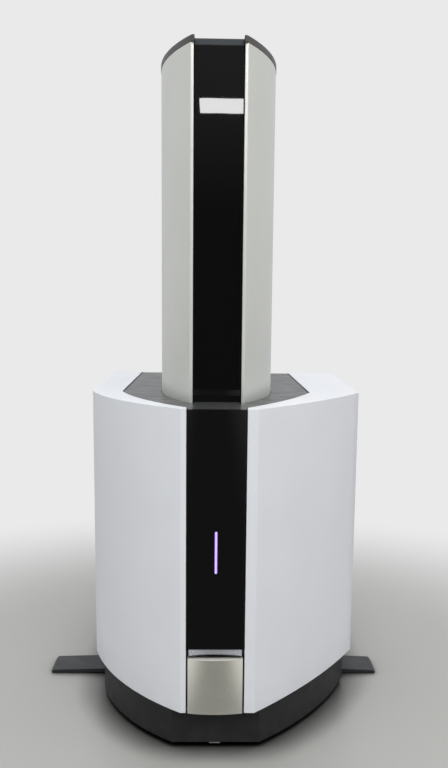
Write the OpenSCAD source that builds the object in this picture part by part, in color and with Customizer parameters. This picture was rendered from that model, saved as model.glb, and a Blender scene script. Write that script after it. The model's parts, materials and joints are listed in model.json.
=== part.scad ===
// Benchtop linear time-of-flight mass spectrometer.
// Millimetres, X to the right, Y to the back, Z up. The origin lies on the bench,
// under the middle of the whole machine. Sizes below are measured from the
// face of the front fascia (Y) and from the bench (Z).

/* [Whole machine] */
// Width across the two stabiliser feet
overall_w = 600; // [560:5:660]
// Depth from the bowed door to the vacuum port
overall_d = 745; // [735:1:790]
// Height to the top of the tower cap
overall_h = 1055; // [1030:5:1150]

/* [Covers] */
// Height of the top of the white covers
body_h = 528; // [500:1:560]
// Height of the lower edge of the white covers
cover_bottom = 63.5; // [62:0.5:67]
// Wall of the white covers
cover_t = 3; // [2:0.5:4]
// Half of the space between the two covers at the front
gap_half = 44.2; // [44:0.1:46]
// Front outer corner of the left cover, sideways
left_corner_x = 210; // [207:1:215]
// Front outer corner of the left cover, backwards
left_corner_y = 251; // [240:1:260]
// Back corner of the left cover, sideways
left_back_x = 218; // [214:1:222]
// Where the left cover's flat front edge ends
left_land_x = 52.5; // [50:0.5:56]
// Bow of the left cover's front
left_bow_r = 470; // [400:10:600]
// Front outer corner of the right cover, sideways
right_corner_x = 245; // [242:1:250]
// Front outer corner of the right cover, backwards
right_corner_y = 257; // [245:1:265]
// Back corner of the right cover, sideways
right_back_x = 253; // [249:1:257]
// Where the right cover's flat front edge ends
right_land_x = 60; // [54:0.5:66]
// Bow of the right cover's front
right_bow_r = 1100; // [900:50:1400]
// Back edge of both covers
body_back = 684; // [680:1:700]

/* [Deck] */
// Half width of the dark deck
deck_half = 160; // [158:1:170]
// Where the deck's straight sides begin
deck_corner_y = 253; // [246:1:262]
// Where the deck's bowed front edges begin
deck_front_y = 15; // [13:1:20]
// Bow of the deck's left front edge
deck_left_bow_r = 560; // [480:20:800]
// Bow of the deck's right front edge
deck_right_bow_r = 860; // [700:20:1100]
// Thickness of the deck plate
deck_t = 3; // [2:0.5:4]
// Open line between deck and covers
deck_gap = 1.6; // [1:0.1:2.4]

/* [Tower] */
// Half width of the tower at its widest
tower_half = 93.5; // [90:0.5:100]
// Half width of the tower's front
tower_front_half = 39.4; // [38:0.2:44]
// Front of the tower
tower_front = 78.5; // [70:0.5:90]
// Where the tower is widest
tower_mid = 280; // [270:1:290]
// Flat back of the tower
tower_back = 430; // [410:1:450]
// Wall of the silver panels
panel_t = 3; // [2:0.5:4]
// Half width of the glossy strip's recess
strip_half = 36.4; // [34:0.2:37.4]
// How far the glossy strip is set back
strip_set = 20.2; // [14:0.2:26]
// Thickness of the glossy strip
strip_t = 4; // [3:0.5:5]
// Height of the cap's edge
cap_h = 9.8; // [8:0.2:14]

/* [Fascia] */
// Half width of the glossy fascia
fascia_half = 43.4; // [42.6:0.1:43.8]
// Lower edge of the fascia
fascia_bottom = 164.6; // [160:0.2:170]
// Thickness of the fascia
fascia_t = 4; // [3:0.5:5]
// Middle of the light bar
light_z = 314.4; // [260:0.2:420]
// Length of the light bar
light_len = 64; // [40:1:90]
// Width of the light bar
light_w = 4.4; // [3:0.2:8]
// Height of the silver finger scoop
scoop_h = 10; // [8:0.5:12]

/* [Door] */
// Half width of the sample door
door_half = 41.5; // [40:0.1:41.8]
// Lower edge of the door
door_bottom = 63; // [62:0.5:64]
// Upper edge of the door
door_top = 150; // [146:0.5:151]
// How far the door's face is bowed out
door_bow = 5; // [3:0.5:7]
// Skin of the door
door_t = 2.4; // [1.8:0.2:3]
// Depth of the door's folded edges
door_depth = 10; // [9:0.5:10.5]
// Radius of the hinge pin
pin_r = 1.5; // [1.2:0.1:1.8]

/* [Plinth] */
// Gap under the plinth
plinth_gap = 9; // [9:0.5:12]
// Front facet of the plinth
plinth_front = 15; // [14.5:0.5:18]
// Wall of the plinth
plinth_t = 5; // [4:0.5:7]
// Left end of the plinth's front facet
facet_left = 65.5; // [60:0.5:70]
// Right end of the plinth's front facet
facet_right = 69; // [64:0.5:76]
// Left side of the plinth
plinth_left = 193; // [188:1:197]
// Right side of the plinth
plinth_right = 232; // [228:1:236]
// Where the plinth's left side begins
plinth_left_y = 225; // [215:1:235]
// Where the plinth's right side begins
plinth_right_y = 262; // [250:1:270]
// Bow of the plinth's left front
plinth_left_bow_r = 350; // [320:10:420]
// Bow of the plinth's right front
plinth_right_bow_r = 600; // [520:20:800]
// Back of the plinth
plinth_back = 690; // [684:1:700]
// Thickness of the chassis plate
chassis_t = 4; // [3:0.5:5]

/* [Feet] */
// Front edge of the stabiliser feet
foot_front = 298; // [290:1:310]
// Size of the stabiliser feet, front to back
foot_d = 66; // [56:1:76]
// Thickness of the stabiliser feet at their tips
foot_t = 4.6; // [4:0.2:5.6]
// Thickness of the rubber pads under them
pad_t = 1.6; // [1.2:0.1:2]
// Radius of the round rubber feet
rubber_r = 20; // [16:1:24]

/* [Vacuum chamber] */
// Half width of the chamber
chamber_half = 105; // [100:1:110]
// Front face of the chamber
chamber_front = 70; // [68:1:80]
// Back face of the chamber
chamber_back = 400; // [396:1:410]
// Height of the chamber's top
chamber_top = 236; // [232:1:245]
// Wall of the chamber
chamber_t = 12; // [10:0.5:14]
// Thickness of the lid
lid_t = 14; // [12:0.5:18]
// Width of the loading port
port_w = 60; // [54:1:64]
// Height of the loading port
port_h = 30; // [28:1:32]
// Middle of the loading port
port_z = 117; // [115:0.5:118]

/* [Flight tube] */
// Outer radius of the tube
tube_r = 57; // [52:0.5:60]
// Wall of the tube
tube_t = 3; // [2:0.5:4]
// Outer radius of the tube's flanges
flange_r = 76; // [72:0.5:80]
// Thickness of the flanges
flange_t = 18; // [14:0.5:20]
// Height of the tube's upper end
tube_top = 985; // [960:1:990]

/* [Sample stage] */
// Length of the slide
slide_len = 76; // [70:1:80]
// Width of the slide
slide_w = 26; // [22:1:28]
// Thickness of the slide
slide_t = 2; // [1.5:0.1:2.4]
// Travel towards the door
travel_front = 140; // [100:5:145]
// Travel away from the door
travel_back = 40; // [20:5:45]
// Travel to each side
travel_side = 22; // [10:1:26]

/* [Turbo pump] */
// Height of the pump's axis
pump_z = 160; // [158:1:162]
// Radius of the pump's body
pump_r = 62; // [58:0.5:66]
// Length of the pump's body behind its flange
pump_len = 116; // [110:1:124]
// Number of blades in each row of the rotor
blade_count = 16; // [12:1:20]

/* [Rear panel] */
// Thickness of the rear panel
rear_t = 2; // [1.5:0.5:3]
// Half size of a square fan
fan_half = 40; // [38:1:44]
// Thickness of a fan
fan_t = 25; // [20:1:28]
// Distance of each fan from the middle
fan_x = 110; // [90:1:120]
// Height of the fans
fan_z = 400; // [380:1:420]

/* [Hidden] */
$fn = 96;
fit = 0.3;

// Colours
white = [0.90, 0.90, 0.92];
silver = [0.76, 0.76, 0.74];
gloss_black = [0.05, 0.05, 0.06];
charcoal = [0.16, 0.16, 0.16];
deck_grey = [0.48, 0.48, 0.48];
rubber_black = [0.08, 0.08, 0.08];
steel = [0.66, 0.67, 0.69];
alloy = [0.78, 0.79, 0.81];
lilac = [0.72, 0.55, 0.98];
board_green = [0.10, 0.36, 0.22];
ceramic = [0.93, 0.92, 0.88];
zinc = [0.62, 0.64, 0.66];

// Heights that follow from the driving sizes
face_y = -overall_d / 2 + door_bow;
port_end = overall_d - door_bow;
deck_top = body_h - 1;
deck_z = deck_top - deck_t;
base_plate_t = 3;
rail_top = deck_z - base_plate_t;
plinth_top = cover_bottom - 1;
chassis_top = plinth_top + chassis_t;
cap_z = overall_h - cap_h;
strip_y = tower_front + strip_set;

// Plan curves. A bow is an arc of radius r from p to q, bulging to the front and outwards.
function bow_centre(p, q, r) =
    let (v = q - p, l = norm(v)) (p + q) / 2 + sqrt(r * r - l * l / 4) * [-v[1], v[0]] / l;
function bow_x(p, q, r, y, inset) =
    let (c = bow_centre(p, q, r)) c[0] + sqrt(pow(r - inset, 2) - pow(y - c[1], 2));

// Right half of a plan: bowed front from p to q, straight side from q to b.
// It is cut off at front, and runs on past b by extra. Behind the corner q the bow no longer counts.
past_corner = 30;
module half_plan(p, q, b, r, inset = 0, front = 0, extra = 0) {
    corner = [bow_x(p, q, r, q[1], inset), q[1]];
    back = [b[0] - inset, b[1] + extra];
    lean = (back[0] - corner[0]) / (back[1] - corner[1]);
    intersection() {
        polygon([[0, front], [corner[0] - lean * (corner[1] - front), front], back, [0, back[1]]]);
        union() {
            translate(bow_centre(p, q, r)) circle(r = r - inset, $fn = 240);
            translate([-1, q[1] + past_corner]) square([q[0] + 50, back[1]]);
        }
    }
}

module placed() { translate([0, face_y, 0]) children(); }
module left_side() { mirror([1, 0, 0]) children(); }
module both_sides() {
    children();
    mirror([1, 0, 0]) children();
}

// A box given by two opposite corners
module block(a, b) { translate(a) cube(b - a); }
// A cylinder along Y between two depths
module bar_y(x, z, r, y0, y1) { translate([x, y0, z]) rotate([-90, 0, 0]) cylinder(r = r, h = y1 - y0); }
// A cylinder along X between two places
module bar_x(y, z, r, x0, x1) { translate([x0, y, z]) rotate([0, 90, 0]) cylinder(r = r, h = x1 - x0); }

// ---- White covers, deck and fascia ----

module cover_plan(side, inset = 0, front = 0, extra = 0) {
    corner = side > 0 ? [right_corner_x, right_corner_y] : [left_corner_x, left_corner_y];
    back = side > 0 ? [right_back_x, body_back] : [left_back_x, body_back];
    bow = side > 0 ? right_bow_r : left_bow_r;
    land = [side > 0 ? right_land_x : left_land_x, 0];
    half_plan(land, corner, back, bow, inset, front, extra);
}

module deck_half_plan(bow, inset, extra) {
    half_plan([gap_half, deck_front_y], [deck_half, deck_corner_y], [deck_half, body_back],
        bow, inset, fascia_t + fit, extra);
}
module deck_plan(inset = 0, extra = 0) {
    deck_half_plan(deck_right_bow_r, inset, extra);
    left_side() deck_half_plan(deck_left_bow_r, inset, extra);
}

// One white cover: a bowed wall, its top turned in to the deck and its front edge turned back
module cover_shell(side) {
    return_d = 14;
    intersection() {
        translate([gap_half, -1, 0]) cube([400, body_back + 2, body_h]);
        union() {
            translate([0, 0, cover_bottom]) linear_extrude(body_h - cover_bottom) difference() {
                cover_plan(side);
                cover_plan(side, cover_t, cover_t, 5);
            }
            translate([0, 0, body_h - cover_t]) linear_extrude(cover_t) difference() {
                cover_plan(side);
                deck_half_plan(side > 0 ? deck_right_bow_r : deck_left_bow_r, 0, 5);
            }
            translate([0, 0, cover_bottom]) linear_extrude(body_h - cover_bottom) intersection() {
                cover_plan(side);
                translate([gap_half, 0]) square([cover_t, return_d]);
            }
        }
    }
}

module left_cover() { color(white) placed() left_side() cover_shell(-1); }
module right_cover() { color(white) placed() cover_shell(1); }

module deck() {
    rim = 2;
    color(deck_grey) placed() difference() {
        union() {
            translate([0, 0, deck_z]) linear_extrude(deck_t) {
                deck_plan(deck_gap);
                translate([-gap_half + deck_gap, fascia_t + fit]) square([2 * (gap_half - deck_gap), 40]);
            }
            translate([0, 0, rail_top]) linear_extrude(deck_z - rail_top) difference() {
                deck_plan(deck_gap);
                deck_plan(deck_gap + rim, 5);
                translate([-gap_half, 0]) square([2 * gap_half, deck_front_y + 14]);
            }
        }
        translate([0, 0, rail_top - 1]) linear_extrude(deck_t + base_plate_t + 2) tower_section(-1.2);
    }
}

module front_fascia() {
    return_t = 2.4;
    return_d = 14;
    color(gloss_black) placed() difference() {
        union() {
            block([-fascia_half, 0, fascia_bottom], [fascia_half, fascia_t, deck_top]);
            both_sides() block([fascia_half - return_t, 0, fascia_bottom], [fascia_half, return_d, deck_z - 1]);
        }
        light_slot(light_w / 2, -1, fascia_t + 1);
    }
}

module light_slot(r, y0, y1) {
    for (end = [-1, 1])
        bar_y(0, light_z + end * (light_len - light_w) / 2, r, y0, y1);
    block([-r, y0, light_z - (light_len - light_w) / 2], [r, y1, light_z + (light_len - light_w) / 2]);
}

guide_foot = 2;
module light_guide() {
    color(lilac) placed() {
        light_slot(light_w / 2 - 0.15, 0.2, fascia_t + 0.1);
        block([-light_w, fascia_t, light_z - light_len / 2 - 3], [light_w, fascia_t + guide_foot, light_z + light_len / 2 + 3]);
    }
}

module light_board() {
    board_y = fascia_t + guide_foot;
    count = 6;
    color(board_green) placed() {
        difference() {
            block([-9, board_y, light_z - light_len / 2 - 12], [9, board_y + 1.6, light_z + light_len / 2 + 12]);
            for (end = [-1, 1]) bar_y(0, light_z + end * (light_len / 2 + 8), 1.6, board_y - 1, board_y + 3);
        }
        for (i = [0:count - 1])
            translate([0, board_y + 1.6, light_z + (i - (count - 1) / 2) * light_len / count])
                translate([-2.5, 0, -1.5]) cube([5, 1.2, 3]);
        block([-6, board_y + 1.6, light_z - light_len / 2 - 6], [6, board_y + 6, light_z - light_len / 2 - 1]);
    }
}

// ---- Door and loading frame ----

door_r = (door_half * door_half + door_bow * door_bow) / (2 * door_bow);
hinge_y = 5;
hinge_z = door_bottom + 5;
frame_y = 18;
frame_t = 4;
gate_front = chamber_front - 30;

// The bowed face of the door, seen from above
module door_plan(inset) {
    intersection() {
        translate([0, door_r - door_bow]) circle(r = door_r - inset, $fn = 240);
        translate([-door_half + inset, -20]) square([2 * (door_half - inset), 20 + door_depth]);
    }
}

module sample_door() {
    color(silver) placed() difference() {
        translate([0, 0, door_bottom]) linear_extrude(door_top - door_bottom) door_plan(0);
        translate([0, 0, door_bottom + door_t]) linear_extrude(door_top - door_bottom - 2 * door_t) {
            door_plan(door_t);
            translate([-door_half + door_t, door_t]) square([2 * (door_half - door_t), door_depth]);
        }
        bar_x(hinge_y, hinge_z, pin_r + 0.15, -door_half - 1, door_half + 1);
    }
}

module door_pin() {
    color(steel) placed() bar_x(hinge_y, hinge_z, pin_r, -fascia_half, fascia_half);
}

module loading_frame() {
    cheek = fascia_half - door_half - 0.5;
    mouth_w = port_w + 4;
    mouth_h = port_h + 4;
    color(charcoal) placed() difference() {
        union() {
            block([-fascia_half, frame_y, chassis_top], [fascia_half, frame_y + frame_t, fascia_bottom + 20]);
            // Foot that is screwed to the chassis plate
            block([-fascia_half, frame_y, chassis_top], [fascia_half, frame_y + 16, chassis_top + 3]);
            // Sleeve that leads the slide into the gate valve
            block([-mouth_w / 2 - 3, frame_y, port_z - mouth_h / 2 - 3],
                [mouth_w / 2 + 3, gate_front, port_z + mouth_h / 2 + 3]);
            // Cheeks that carry the hinge pin
            both_sides() difference() {
                block([fascia_half - cheek, 2, door_bottom], [fascia_half, frame_y + frame_t, hinge_z + 8]);
                block([0, plinth_front - fit, 0], [100, 100, chassis_top]);
            }
        }
        block([-mouth_w / 2, 0, port_z - mouth_h / 2], [mouth_w / 2, 200, port_z + mouth_h / 2]);
        bar_x(hinge_y, hinge_z, pin_r + 0.05, -fascia_half - 1, fascia_half + 1);
        for (x = [-30, 30]) translate([x, frame_y + 10, chassis_top - 1]) cylinder(r = 2.2, h = 6);
        for (x = catch_x) bar_y(x, catch_z, catch_r + 0.1, frame_y - 1, frame_y + frame_t + 1);
    }
}

catch_r = 4;
catch_x = [-door_half + 9, door_half - 9];
catch_z = door_top - door_t / 2 - 1.5;
module door_catches() {
    // Magnets that hold the door's upper edge
    color(steel) placed() for (x = catch_x)
        bar_y(x, catch_z, catch_r, door_depth + fit, frame_y + frame_t);
}

module finger_scoop() {
    // Silver lip with a hollow face, above the door
    depth = 8;
    color(silver) placed() difference() {
        block([-door_half + 1.5, 0.4, fascia_bottom - scoop_h], [door_half - 1.5, frame_y, fascia_bottom]);
        translate([0, -door_r + door_bow, 0]) cylinder(r = door_r, h = overall_h, $fn = 240);
        block([-door_half, depth, fascia_bottom - scoop_h - 1], [door_half, frame_y - 3, fascia_bottom - 2.4]);
    }
}

// ---- Tower ----

tower_r = let (a = tower_mid - tower_front, s = tower_half - tower_front_half) (a * a + s * s) / (2 * s);
function tower_x(y, inset) = tower_half - tower_r + sqrt(pow(tower_r - inset, 2) - pow(y - tower_mid, 2));

// Plan of the tower between two depths, smaller all round by inset
module tower_plan(inset, y0, y1) {
    both_sides() intersection() {
        translate([tower_half - tower_r, tower_mid]) circle(r = tower_r - inset, $fn = 240);
        translate([0, y0]) square([tower_half + 10, y1 - y0]);
    }
}

// Whole section of the tower, with the notch at its front
module tower_section(inset) {
    difference() {
        tower_plan(inset, tower_front + inset, tower_back - inset);
        translate([-strip_half - inset, tower_front - 10]) square([2 * (strip_half + inset), 10 + strip_set + inset]);
    }
}

module tower_panel() {
    fold = 2.2;
    translate([0, 0, deck_z]) linear_extrude(cap_z - deck_z) {
        intersection() {
            difference() {
                tower_plan(0, tower_front, tower_back);
                tower_plan(panel_t, tower_front - 5, tower_back + 5);
            }
            translate([strip_half, 0]) square([200, 600]);
        }
        translate([strip_half, tower_front]) square([fold, strip_set + strip_t + 1]);
    }
}

module tower_left_panel() { color(silver) placed() left_side() tower_panel(); }
module tower_right_panel() { color(silver) placed() tower_panel(); }

module tower_front_strip() {
    color(gloss_black) placed()
        block([-strip_half + fit, strip_y, deck_z], [strip_half - fit, strip_y + strip_t, cap_z]);
}

module tower_rear_cover() {
    half = tower_x(tower_back, panel_t) - 0.5;
    fold = 10;
    slots = 8;
    color(charcoal) placed() difference() {
        union() {
            block([-half, tower_back - 2.5, deck_z], [half, tower_back, cap_z]);
            both_sides() block([half - 6, tower_back - fold, deck_z], [half - 4, tower_back, cap_z]);
        }
        for (i = [0:slots - 1], x = [-26, 26])
            translate([x - 20, tower_back - 5, cap_z - 44 - (slots - i) * 12]) cube([40, 6, 4]);
    }
}

bracket_t = 4;
bracket_z = [690, 860, cap_z - bracket_t];
module tower_brackets() {
    // Plates on the flight tube that carry the panels, the strip and the rear cover
    color(alloy) placed() for (z = bracket_z)
        translate([0, 0, z]) linear_extrude(bracket_t) difference() {
            tower_plan(panel_t + fit, strip_y + strip_t + 1.5, tower_back - 10.5);
            translate([0, tower_mid]) circle(r = z > tube_top ? 24 : tube_r + 0.2);
        }
}

module tower_base() {
    color(zinc) placed() difference() {
        translate([0, 0, rail_top]) linear_extrude(base_plate_t) {
            tower_plan(-14, tower_front - 12, tower_back + 14);
            // Wings that lie on the long rails
            translate([-deck_half + 6, deck_corner_y]) square([2 * (deck_half - 6), tower_back + 14 - deck_corner_y]);
        }
        translate([0, tower_mid, 0]) cylinder(r = tube_r + 5, h = overall_h);
    }
}

module tower_cap() {
    wall = 4;
    overhang = 0.6;
    color(charcoal) placed() translate([0, 0, cap_z]) difference() {
        linear_extrude(cap_h) tower_section(-overhang);
        translate([0, 0, -1]) linear_extrude(cap_h - 2) tower_section(wall);
    }
}

// ---- Plinth, chassis and feet ----

module plinth_plan(inset, extra = 0) {
    front = plinth_front + inset;
    half_plan([facet_right, plinth_front], [plinth_right, plinth_right_y], [plinth_right, plinth_back],
        plinth_right_bow_r, inset, front, extra);
    left_side() half_plan([facet_left, plinth_front], [plinth_left, plinth_left_y], [plinth_left, plinth_back],
        plinth_left_bow_r, inset, front, extra);
}

rubber_at = [[-110, 130], [130, 130], [-150, plinth_back - 60], [190, plinth_back - 60]];
boss_r = 9;
module base_plinth() {
    floor_t = plinth_t;
    color(charcoal) placed() difference() {
        union() {
            translate([0, 0, plinth_gap]) linear_extrude(floor_t) plinth_plan(plinth_t / 2);
            translate([0, 0, plinth_gap]) linear_extrude(plinth_top - plinth_gap) difference() {
                plinth_plan(0);
                difference() {
                    plinth_plan(plinth_t);
                    translate([-600, plinth_back - plinth_t]) square([1200, 50]);
                }
            }
            // Bosses and ribs that carry the chassis plate
            for (at = rubber_at) translate([at[0], at[1], plinth_gap]) cylinder(r = boss_r, h = plinth_top - plinth_gap);
            for (x = [-60, 60])
                block([x - 2, plinth_front + 4, plinth_gap], [x + 2, plinth_back - 1, plinth_top]);
            for (y = [foot_front, foot_front + foot_d])
                block([-plinth_left + 2, y - 2, plinth_gap], [plinth_right - 2, y + 2, plinth_top]);
        }
        for (at = rubber_at) translate([at[0], at[1], plinth_gap - 1]) cylinder(r = 2.6, h = 20);
        for (at = foot_screws) translate([at[0], at[1], 0]) cylinder(r = 2.6, h = plinth_gap + floor_t + 1);
    }
}

module chassis_plate() {
    color(zinc) placed() translate([0, 0, plinth_top]) difference() {
        linear_extrude(chassis_t) intersection() {
            plinth_plan(1);
            union() {
                cover_plan(1, cover_t + 1, 0, 3);
                left_side() cover_plan(-1, cover_t + 1, 0, 3);
            }
            translate([-overall_w, frame_y]) square([2 * overall_w, plinth_back - frame_y]);
        }
        for (x = [-30, 30]) translate([x, frame_y + 10, -1]) cylinder(r = 2.2, h = 10);
        for (i = [0:9]) block([-20 + i * 12 - 2, 610, -1], [-20 + i * 12 + 2, 650, 10]);
    }
}

module rubber_feet() {
    color(rubber_black) placed() {
        for (at = rubber_at) translate([at[0], at[1], 0]) {
            cylinder(r1 = rubber_r - 2, r2 = rubber_r, h = 2);
            translate([0, 0, 2]) cylinder(r = rubber_r, h = plinth_gap - 2);
            translate([0, 0, plinth_gap - 1]) cylinder(r = 2.5, h = 9);
        }
        // Pads under the stabilisers
        both_sides() block([plinth_right + 4, foot_front + pad_inset, 0],
            [overall_w / 2 - pad_inset, foot_front + foot_d - pad_inset, pad_t]);
    }
}

foot_inner = 96;
pad_inset = 1.3;
foot_screws = [for (side = [-1, 1], x = [118, 158], y = [foot_front + 16, foot_front + foot_d - 16]) [side * x, y]];

// Foot that lies under the plinth and thins out from the plinth's side to its tip
module stabiliser(plinth_side) {
    round_r = 4;
    edge = 4;
    tip = overall_w / 2;
    tip_z = pad_t + foot_t;
    difference() {
        intersection() {
            translate([0, foot_front + foot_d, 0]) rotate([90, 0, 0]) linear_extrude(foot_d)
                polygon([[foot_inner, pad_t], [tip, pad_t], [tip, tip_z - edge / 2], [tip - edge, tip_z],
                    [plinth_side, plinth_gap], [foot_inner, plinth_gap]]);
            linear_extrude(plinth_gap + 1) union() {
                translate([foot_inner - 1, foot_front]) square([tip - foot_inner + 1 - round_r, foot_d]);
                translate([foot_inner - 1, foot_front + round_r]) square([tip - foot_inner + 1, foot_d - 2 * round_r]);
                for (y = [foot_front + round_r, foot_front + foot_d - round_r])
                    translate([tip - round_r, y]) circle(r = round_r);
            }
        }
        for (at = foot_screws) if (at[0] > 0) translate([at[0], at[1], 0]) {
            cylinder(r = 2.6, h = 20);
            translate([0, 0, pad_t - 0.1]) cylinder(r1 = 5.4, r2 = 2.6, h = 2.8);
        }
    }
}
module stabiliser_left() { color(charcoal) placed() left_side() stabiliser(plinth_left); }
module stabiliser_right() { color(charcoal) placed() stabiliser(plinth_right); }

module stabiliser_screws() {
    color(steel) placed() for (at = foot_screws) translate([at[0], at[1], pad_t]) difference() {
        union() {
            cylinder(r1 = 5.2, r2 = 2.4, h = 2.8);
            cylinder(r = 2.4, h = plinth_gap + plinth_t - pad_t - 0.5);
        }
        translate([0, 0, -1]) cylinder(r = 1.5, h = 2.6, $fn = 6);
    }
}

// ---- Inner frame ----

rear_y = body_back - 6;
panel_foot = 12;
post = 20;
post_left = -plinth_left + 3;
post_right = plinth_right - 3 - post;
front_post_y = 275;
rear_post_y = rear_y - panel_foot - post - fit;
rail_x = deck_half - 22;
rail_front = 150;

module frame() {
    z0 = rail_top - post;
    z1 = rail_top;
    color(zinc) placed() {
        for (x = [post_left, post_right], y = [front_post_y, rear_post_y])
            block([x, y, chassis_top], [x + post, y + post, z1]);
        for (y = [front_post_y, rear_post_y]) {
            block([post_left, y, z0], [-rail_x, y + post, z1]);
            block([rail_x, y, z0], [post_right + post, y + post, z1]);
        }
        block([-rail_x - post, rear_post_y, z0], [rail_x + post, rear_post_y + post, z1]);
        both_sides() block([rail_x, rail_front, z0], [rail_x + post, rear_post_y + post, z1]);
        block([-rail_x - post, rail_front, z0], [rail_x + post, rail_front + post, z1]);
        // Arms that carry the fascia
        both_sides() block([16, fascia_t + fit, z0], [32, rail_front + 1, z1]);
    }
}

// ---- Vacuum system ----

chamber_z = chassis_top + 6;
lid_z = chamber_top;
tube_z = chamber_top + lid_t;
cavity_z = chamber_z + chamber_t;
pump_bore = pump_r - 10;

module chamber_supports() {
    color(rubber_black) placed() for (x = [-chamber_half + 16, chamber_half - 16], y = [chamber_front + 20, chamber_back - 20])
        translate([x, y, chassis_top]) cylinder(r = 12, h = chamber_z - chassis_top);
}

// Chamber of five plates, sealed and bolted to each other
module vacuum_chamber() {
    seal = 0.1;
    inner = chamber_half - chamber_t;
    wall_z = cavity_z + seal;
    color(alloy) placed() difference() {
        union() {
            block([-chamber_half, chamber_front, chamber_z], [chamber_half, chamber_back, cavity_z]);
            both_sides() block([inner, chamber_front, wall_z], [chamber_half, chamber_back, chamber_top]);
            for (y = [chamber_front, chamber_back - chamber_t])
                block([-inner + seal, y, wall_z], [inner - seal, y + chamber_t, chamber_top]);
        }
        block([-port_w / 2, chamber_front - 1, port_z - port_h / 2],
            [port_w / 2, chamber_front + chamber_t + 1, port_z + port_h / 2]);
        bar_y(0, pump_z, pump_bore, chamber_back - chamber_t - 1, chamber_back + 1);
        for (at = lid_screws) translate([at[0], at[1], chamber_top - 12]) cylinder(r = 2.5, h = 13);
    }
}

lid_screws = [for (x = [-chamber_half + 6, chamber_half - 6], i = [0:4])
    [x, chamber_front + 8 + i * (chamber_back - chamber_front - 16) / 4]];
window_tilt = 40;
window_y = tower_mid - (tube_z - port_z) * tan(window_tilt);
window_r = 16;

// Draws along the laser beam's line, which leans back to the sample
module along_beam() { translate([0, window_y, tube_z]) rotate([window_tilt, 0, 0]) children(); }

module chamber_lid() {
    color(alloy) placed() difference() {
        union() {
            block([-chamber_half, chamber_front, lid_z], [chamber_half, chamber_back, tube_z]);
            intersection() {
                along_beam() translate([0, 0, -30]) cylinder(r = window_r + 8, h = 58);
                translate([-60, 60, lid_z + 2]) cube([120, 200, 100]);
            }
        }
        translate([0, tower_mid, lid_z - 1]) cylinder(r = 30, h = lid_t + 2);
        along_beam() translate([0, 0, -60]) cylinder(r = window_r - 4, h = 120);
        along_beam() translate([0, 0, 28 - 5]) cylinder(r = window_r + 0.1, h = 10);
        for (at = lid_screws) translate([at[0], at[1], lid_z - 1]) cylinder(r = 2.7, h = lid_t + 2);
        for (x = camera_x) translate([x, camera_y, lid_z - 1]) cylinder(r = 9, h = lid_t + 2);
        for (i = [0:3]) rotate_about_tube(45 + i * 90) translate([post_ring, 0, lid_z - 1]) cylinder(r = 2.2, h = 8);
    }
}

module rotate_about_tube(angle) { translate([0, tower_mid, 0]) rotate([0, 0, angle]) children(); }

module laser_window() {
    color("lightsteelblue") placed() along_beam() translate([0, 0, 28 - 5]) cylinder(r = window_r, h = 4);
}

module lid_bolts() {
    color(steel) placed() for (at = lid_screws) translate([at[0], at[1], tube_z]) difference() {
        union() {
            cylinder(r = 4.2, h = 5);
            translate([0, 0, -lid_t - 8]) cylinder(r = 2.4, h = lid_t + 8.5);
        }
        translate([0, 0, 2.4]) cylinder(r = 2.2, h = 4, $fn = 6);
    }
}

module flight_tube() {
    bolts = 8;
    color(steel) placed() translate([0, tower_mid, 0]) difference() {
        union() {
            translate([0, 0, tube_z]) cylinder(r = tube_r, h = tube_top - tube_z);
            translate([0, 0, tube_z]) cylinder(r = flange_r, h = flange_t);
            translate([0, 0, tube_top - flange_t]) cylinder(r = flange_r, h = flange_t);
        }
        translate([0, 0, tube_z - 1]) cylinder(r = tube_r - tube_t, h = tube_top - tube_z + 2);
        for (i = [0:bolts - 1], z = [tube_z - 1, tube_top - flange_t - 1])
            rotate([0, 0, (i + 0.5) * 360 / bolts]) translate([(flange_r + tube_r) / 2, 0, z]) cylinder(r = 4.2, h = flange_t + 2);
    }
}

detector_h = 40;
module detector() {
    // Flange with the ion detector hanging in the tube's end
    color(steel) placed() translate([0, tower_mid, tube_top]) {
        cylinder(r = flange_r, h = 12);
        translate([0, 0, 11]) cylinder(r = 30, h = detector_h - 11);
        translate([0, 0, -20]) cylinder(r = 26, h = 21);
        for (i = [0:2]) rotate([0, 0, i * 120]) translate([20, 0, -36]) cylinder(r = 3, h = 37);
        translate([0, 0, -36]) difference() {
            cylinder(r = 34, h = 10);
            translate([0, 0, -1]) cylinder(r = 14, h = 7);
        }
    }
}

post_r = 5;
post_ring = 44;
electrode_z = [port_z - 3, port_z + 10, port_z + 26];
module insulator_posts() {
    color(ceramic) placed() for (i = [0:3]) rotate_about_tube(45 + i * 90) translate([post_ring, 0, 0]) {
        translate([0, 0, electrode_z[0] - 2]) cylinder(r = post_r, h = lid_z - electrode_z[0] + 2);
        translate([0, 0, lid_z]) cylinder(r = 2, h = 6);
    }
}
module electrodes() {
    color(steel) placed() for (z = electrode_z) rotate_about_tube(45) translate([0, 0, z]) difference() {
        cylinder(r = post_ring + 10, h = 3);
        translate([0, 0, -1]) cylinder(r = z == electrode_z[0] ? 20 : 12, h = 5);
        for (i = [0:3]) rotate([0, 0, i * 90]) translate([post_ring, 0, -1]) cylinder(r = post_r + 0.15, h = 5);
        // Way in for the laser beam
        rotate(-45) translate([0, -tower_mid, -z]) along_beam() translate([0, 0, -300]) cylinder(r = 6, h = 300);
    }
}

// ---- Gate valve ----

gate_half = 56;
gate_z0 = port_z - port_h / 2 - 14;
blade_h = port_h + 10;
gate_lift = port_h + 6;
gate_top = port_z + port_h / 2 + gate_lift + 24;
blade_t = 5;
stem_r = 2;
blade_y = (gate_front + chamber_front) / 2 - blade_t / 2;

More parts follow.
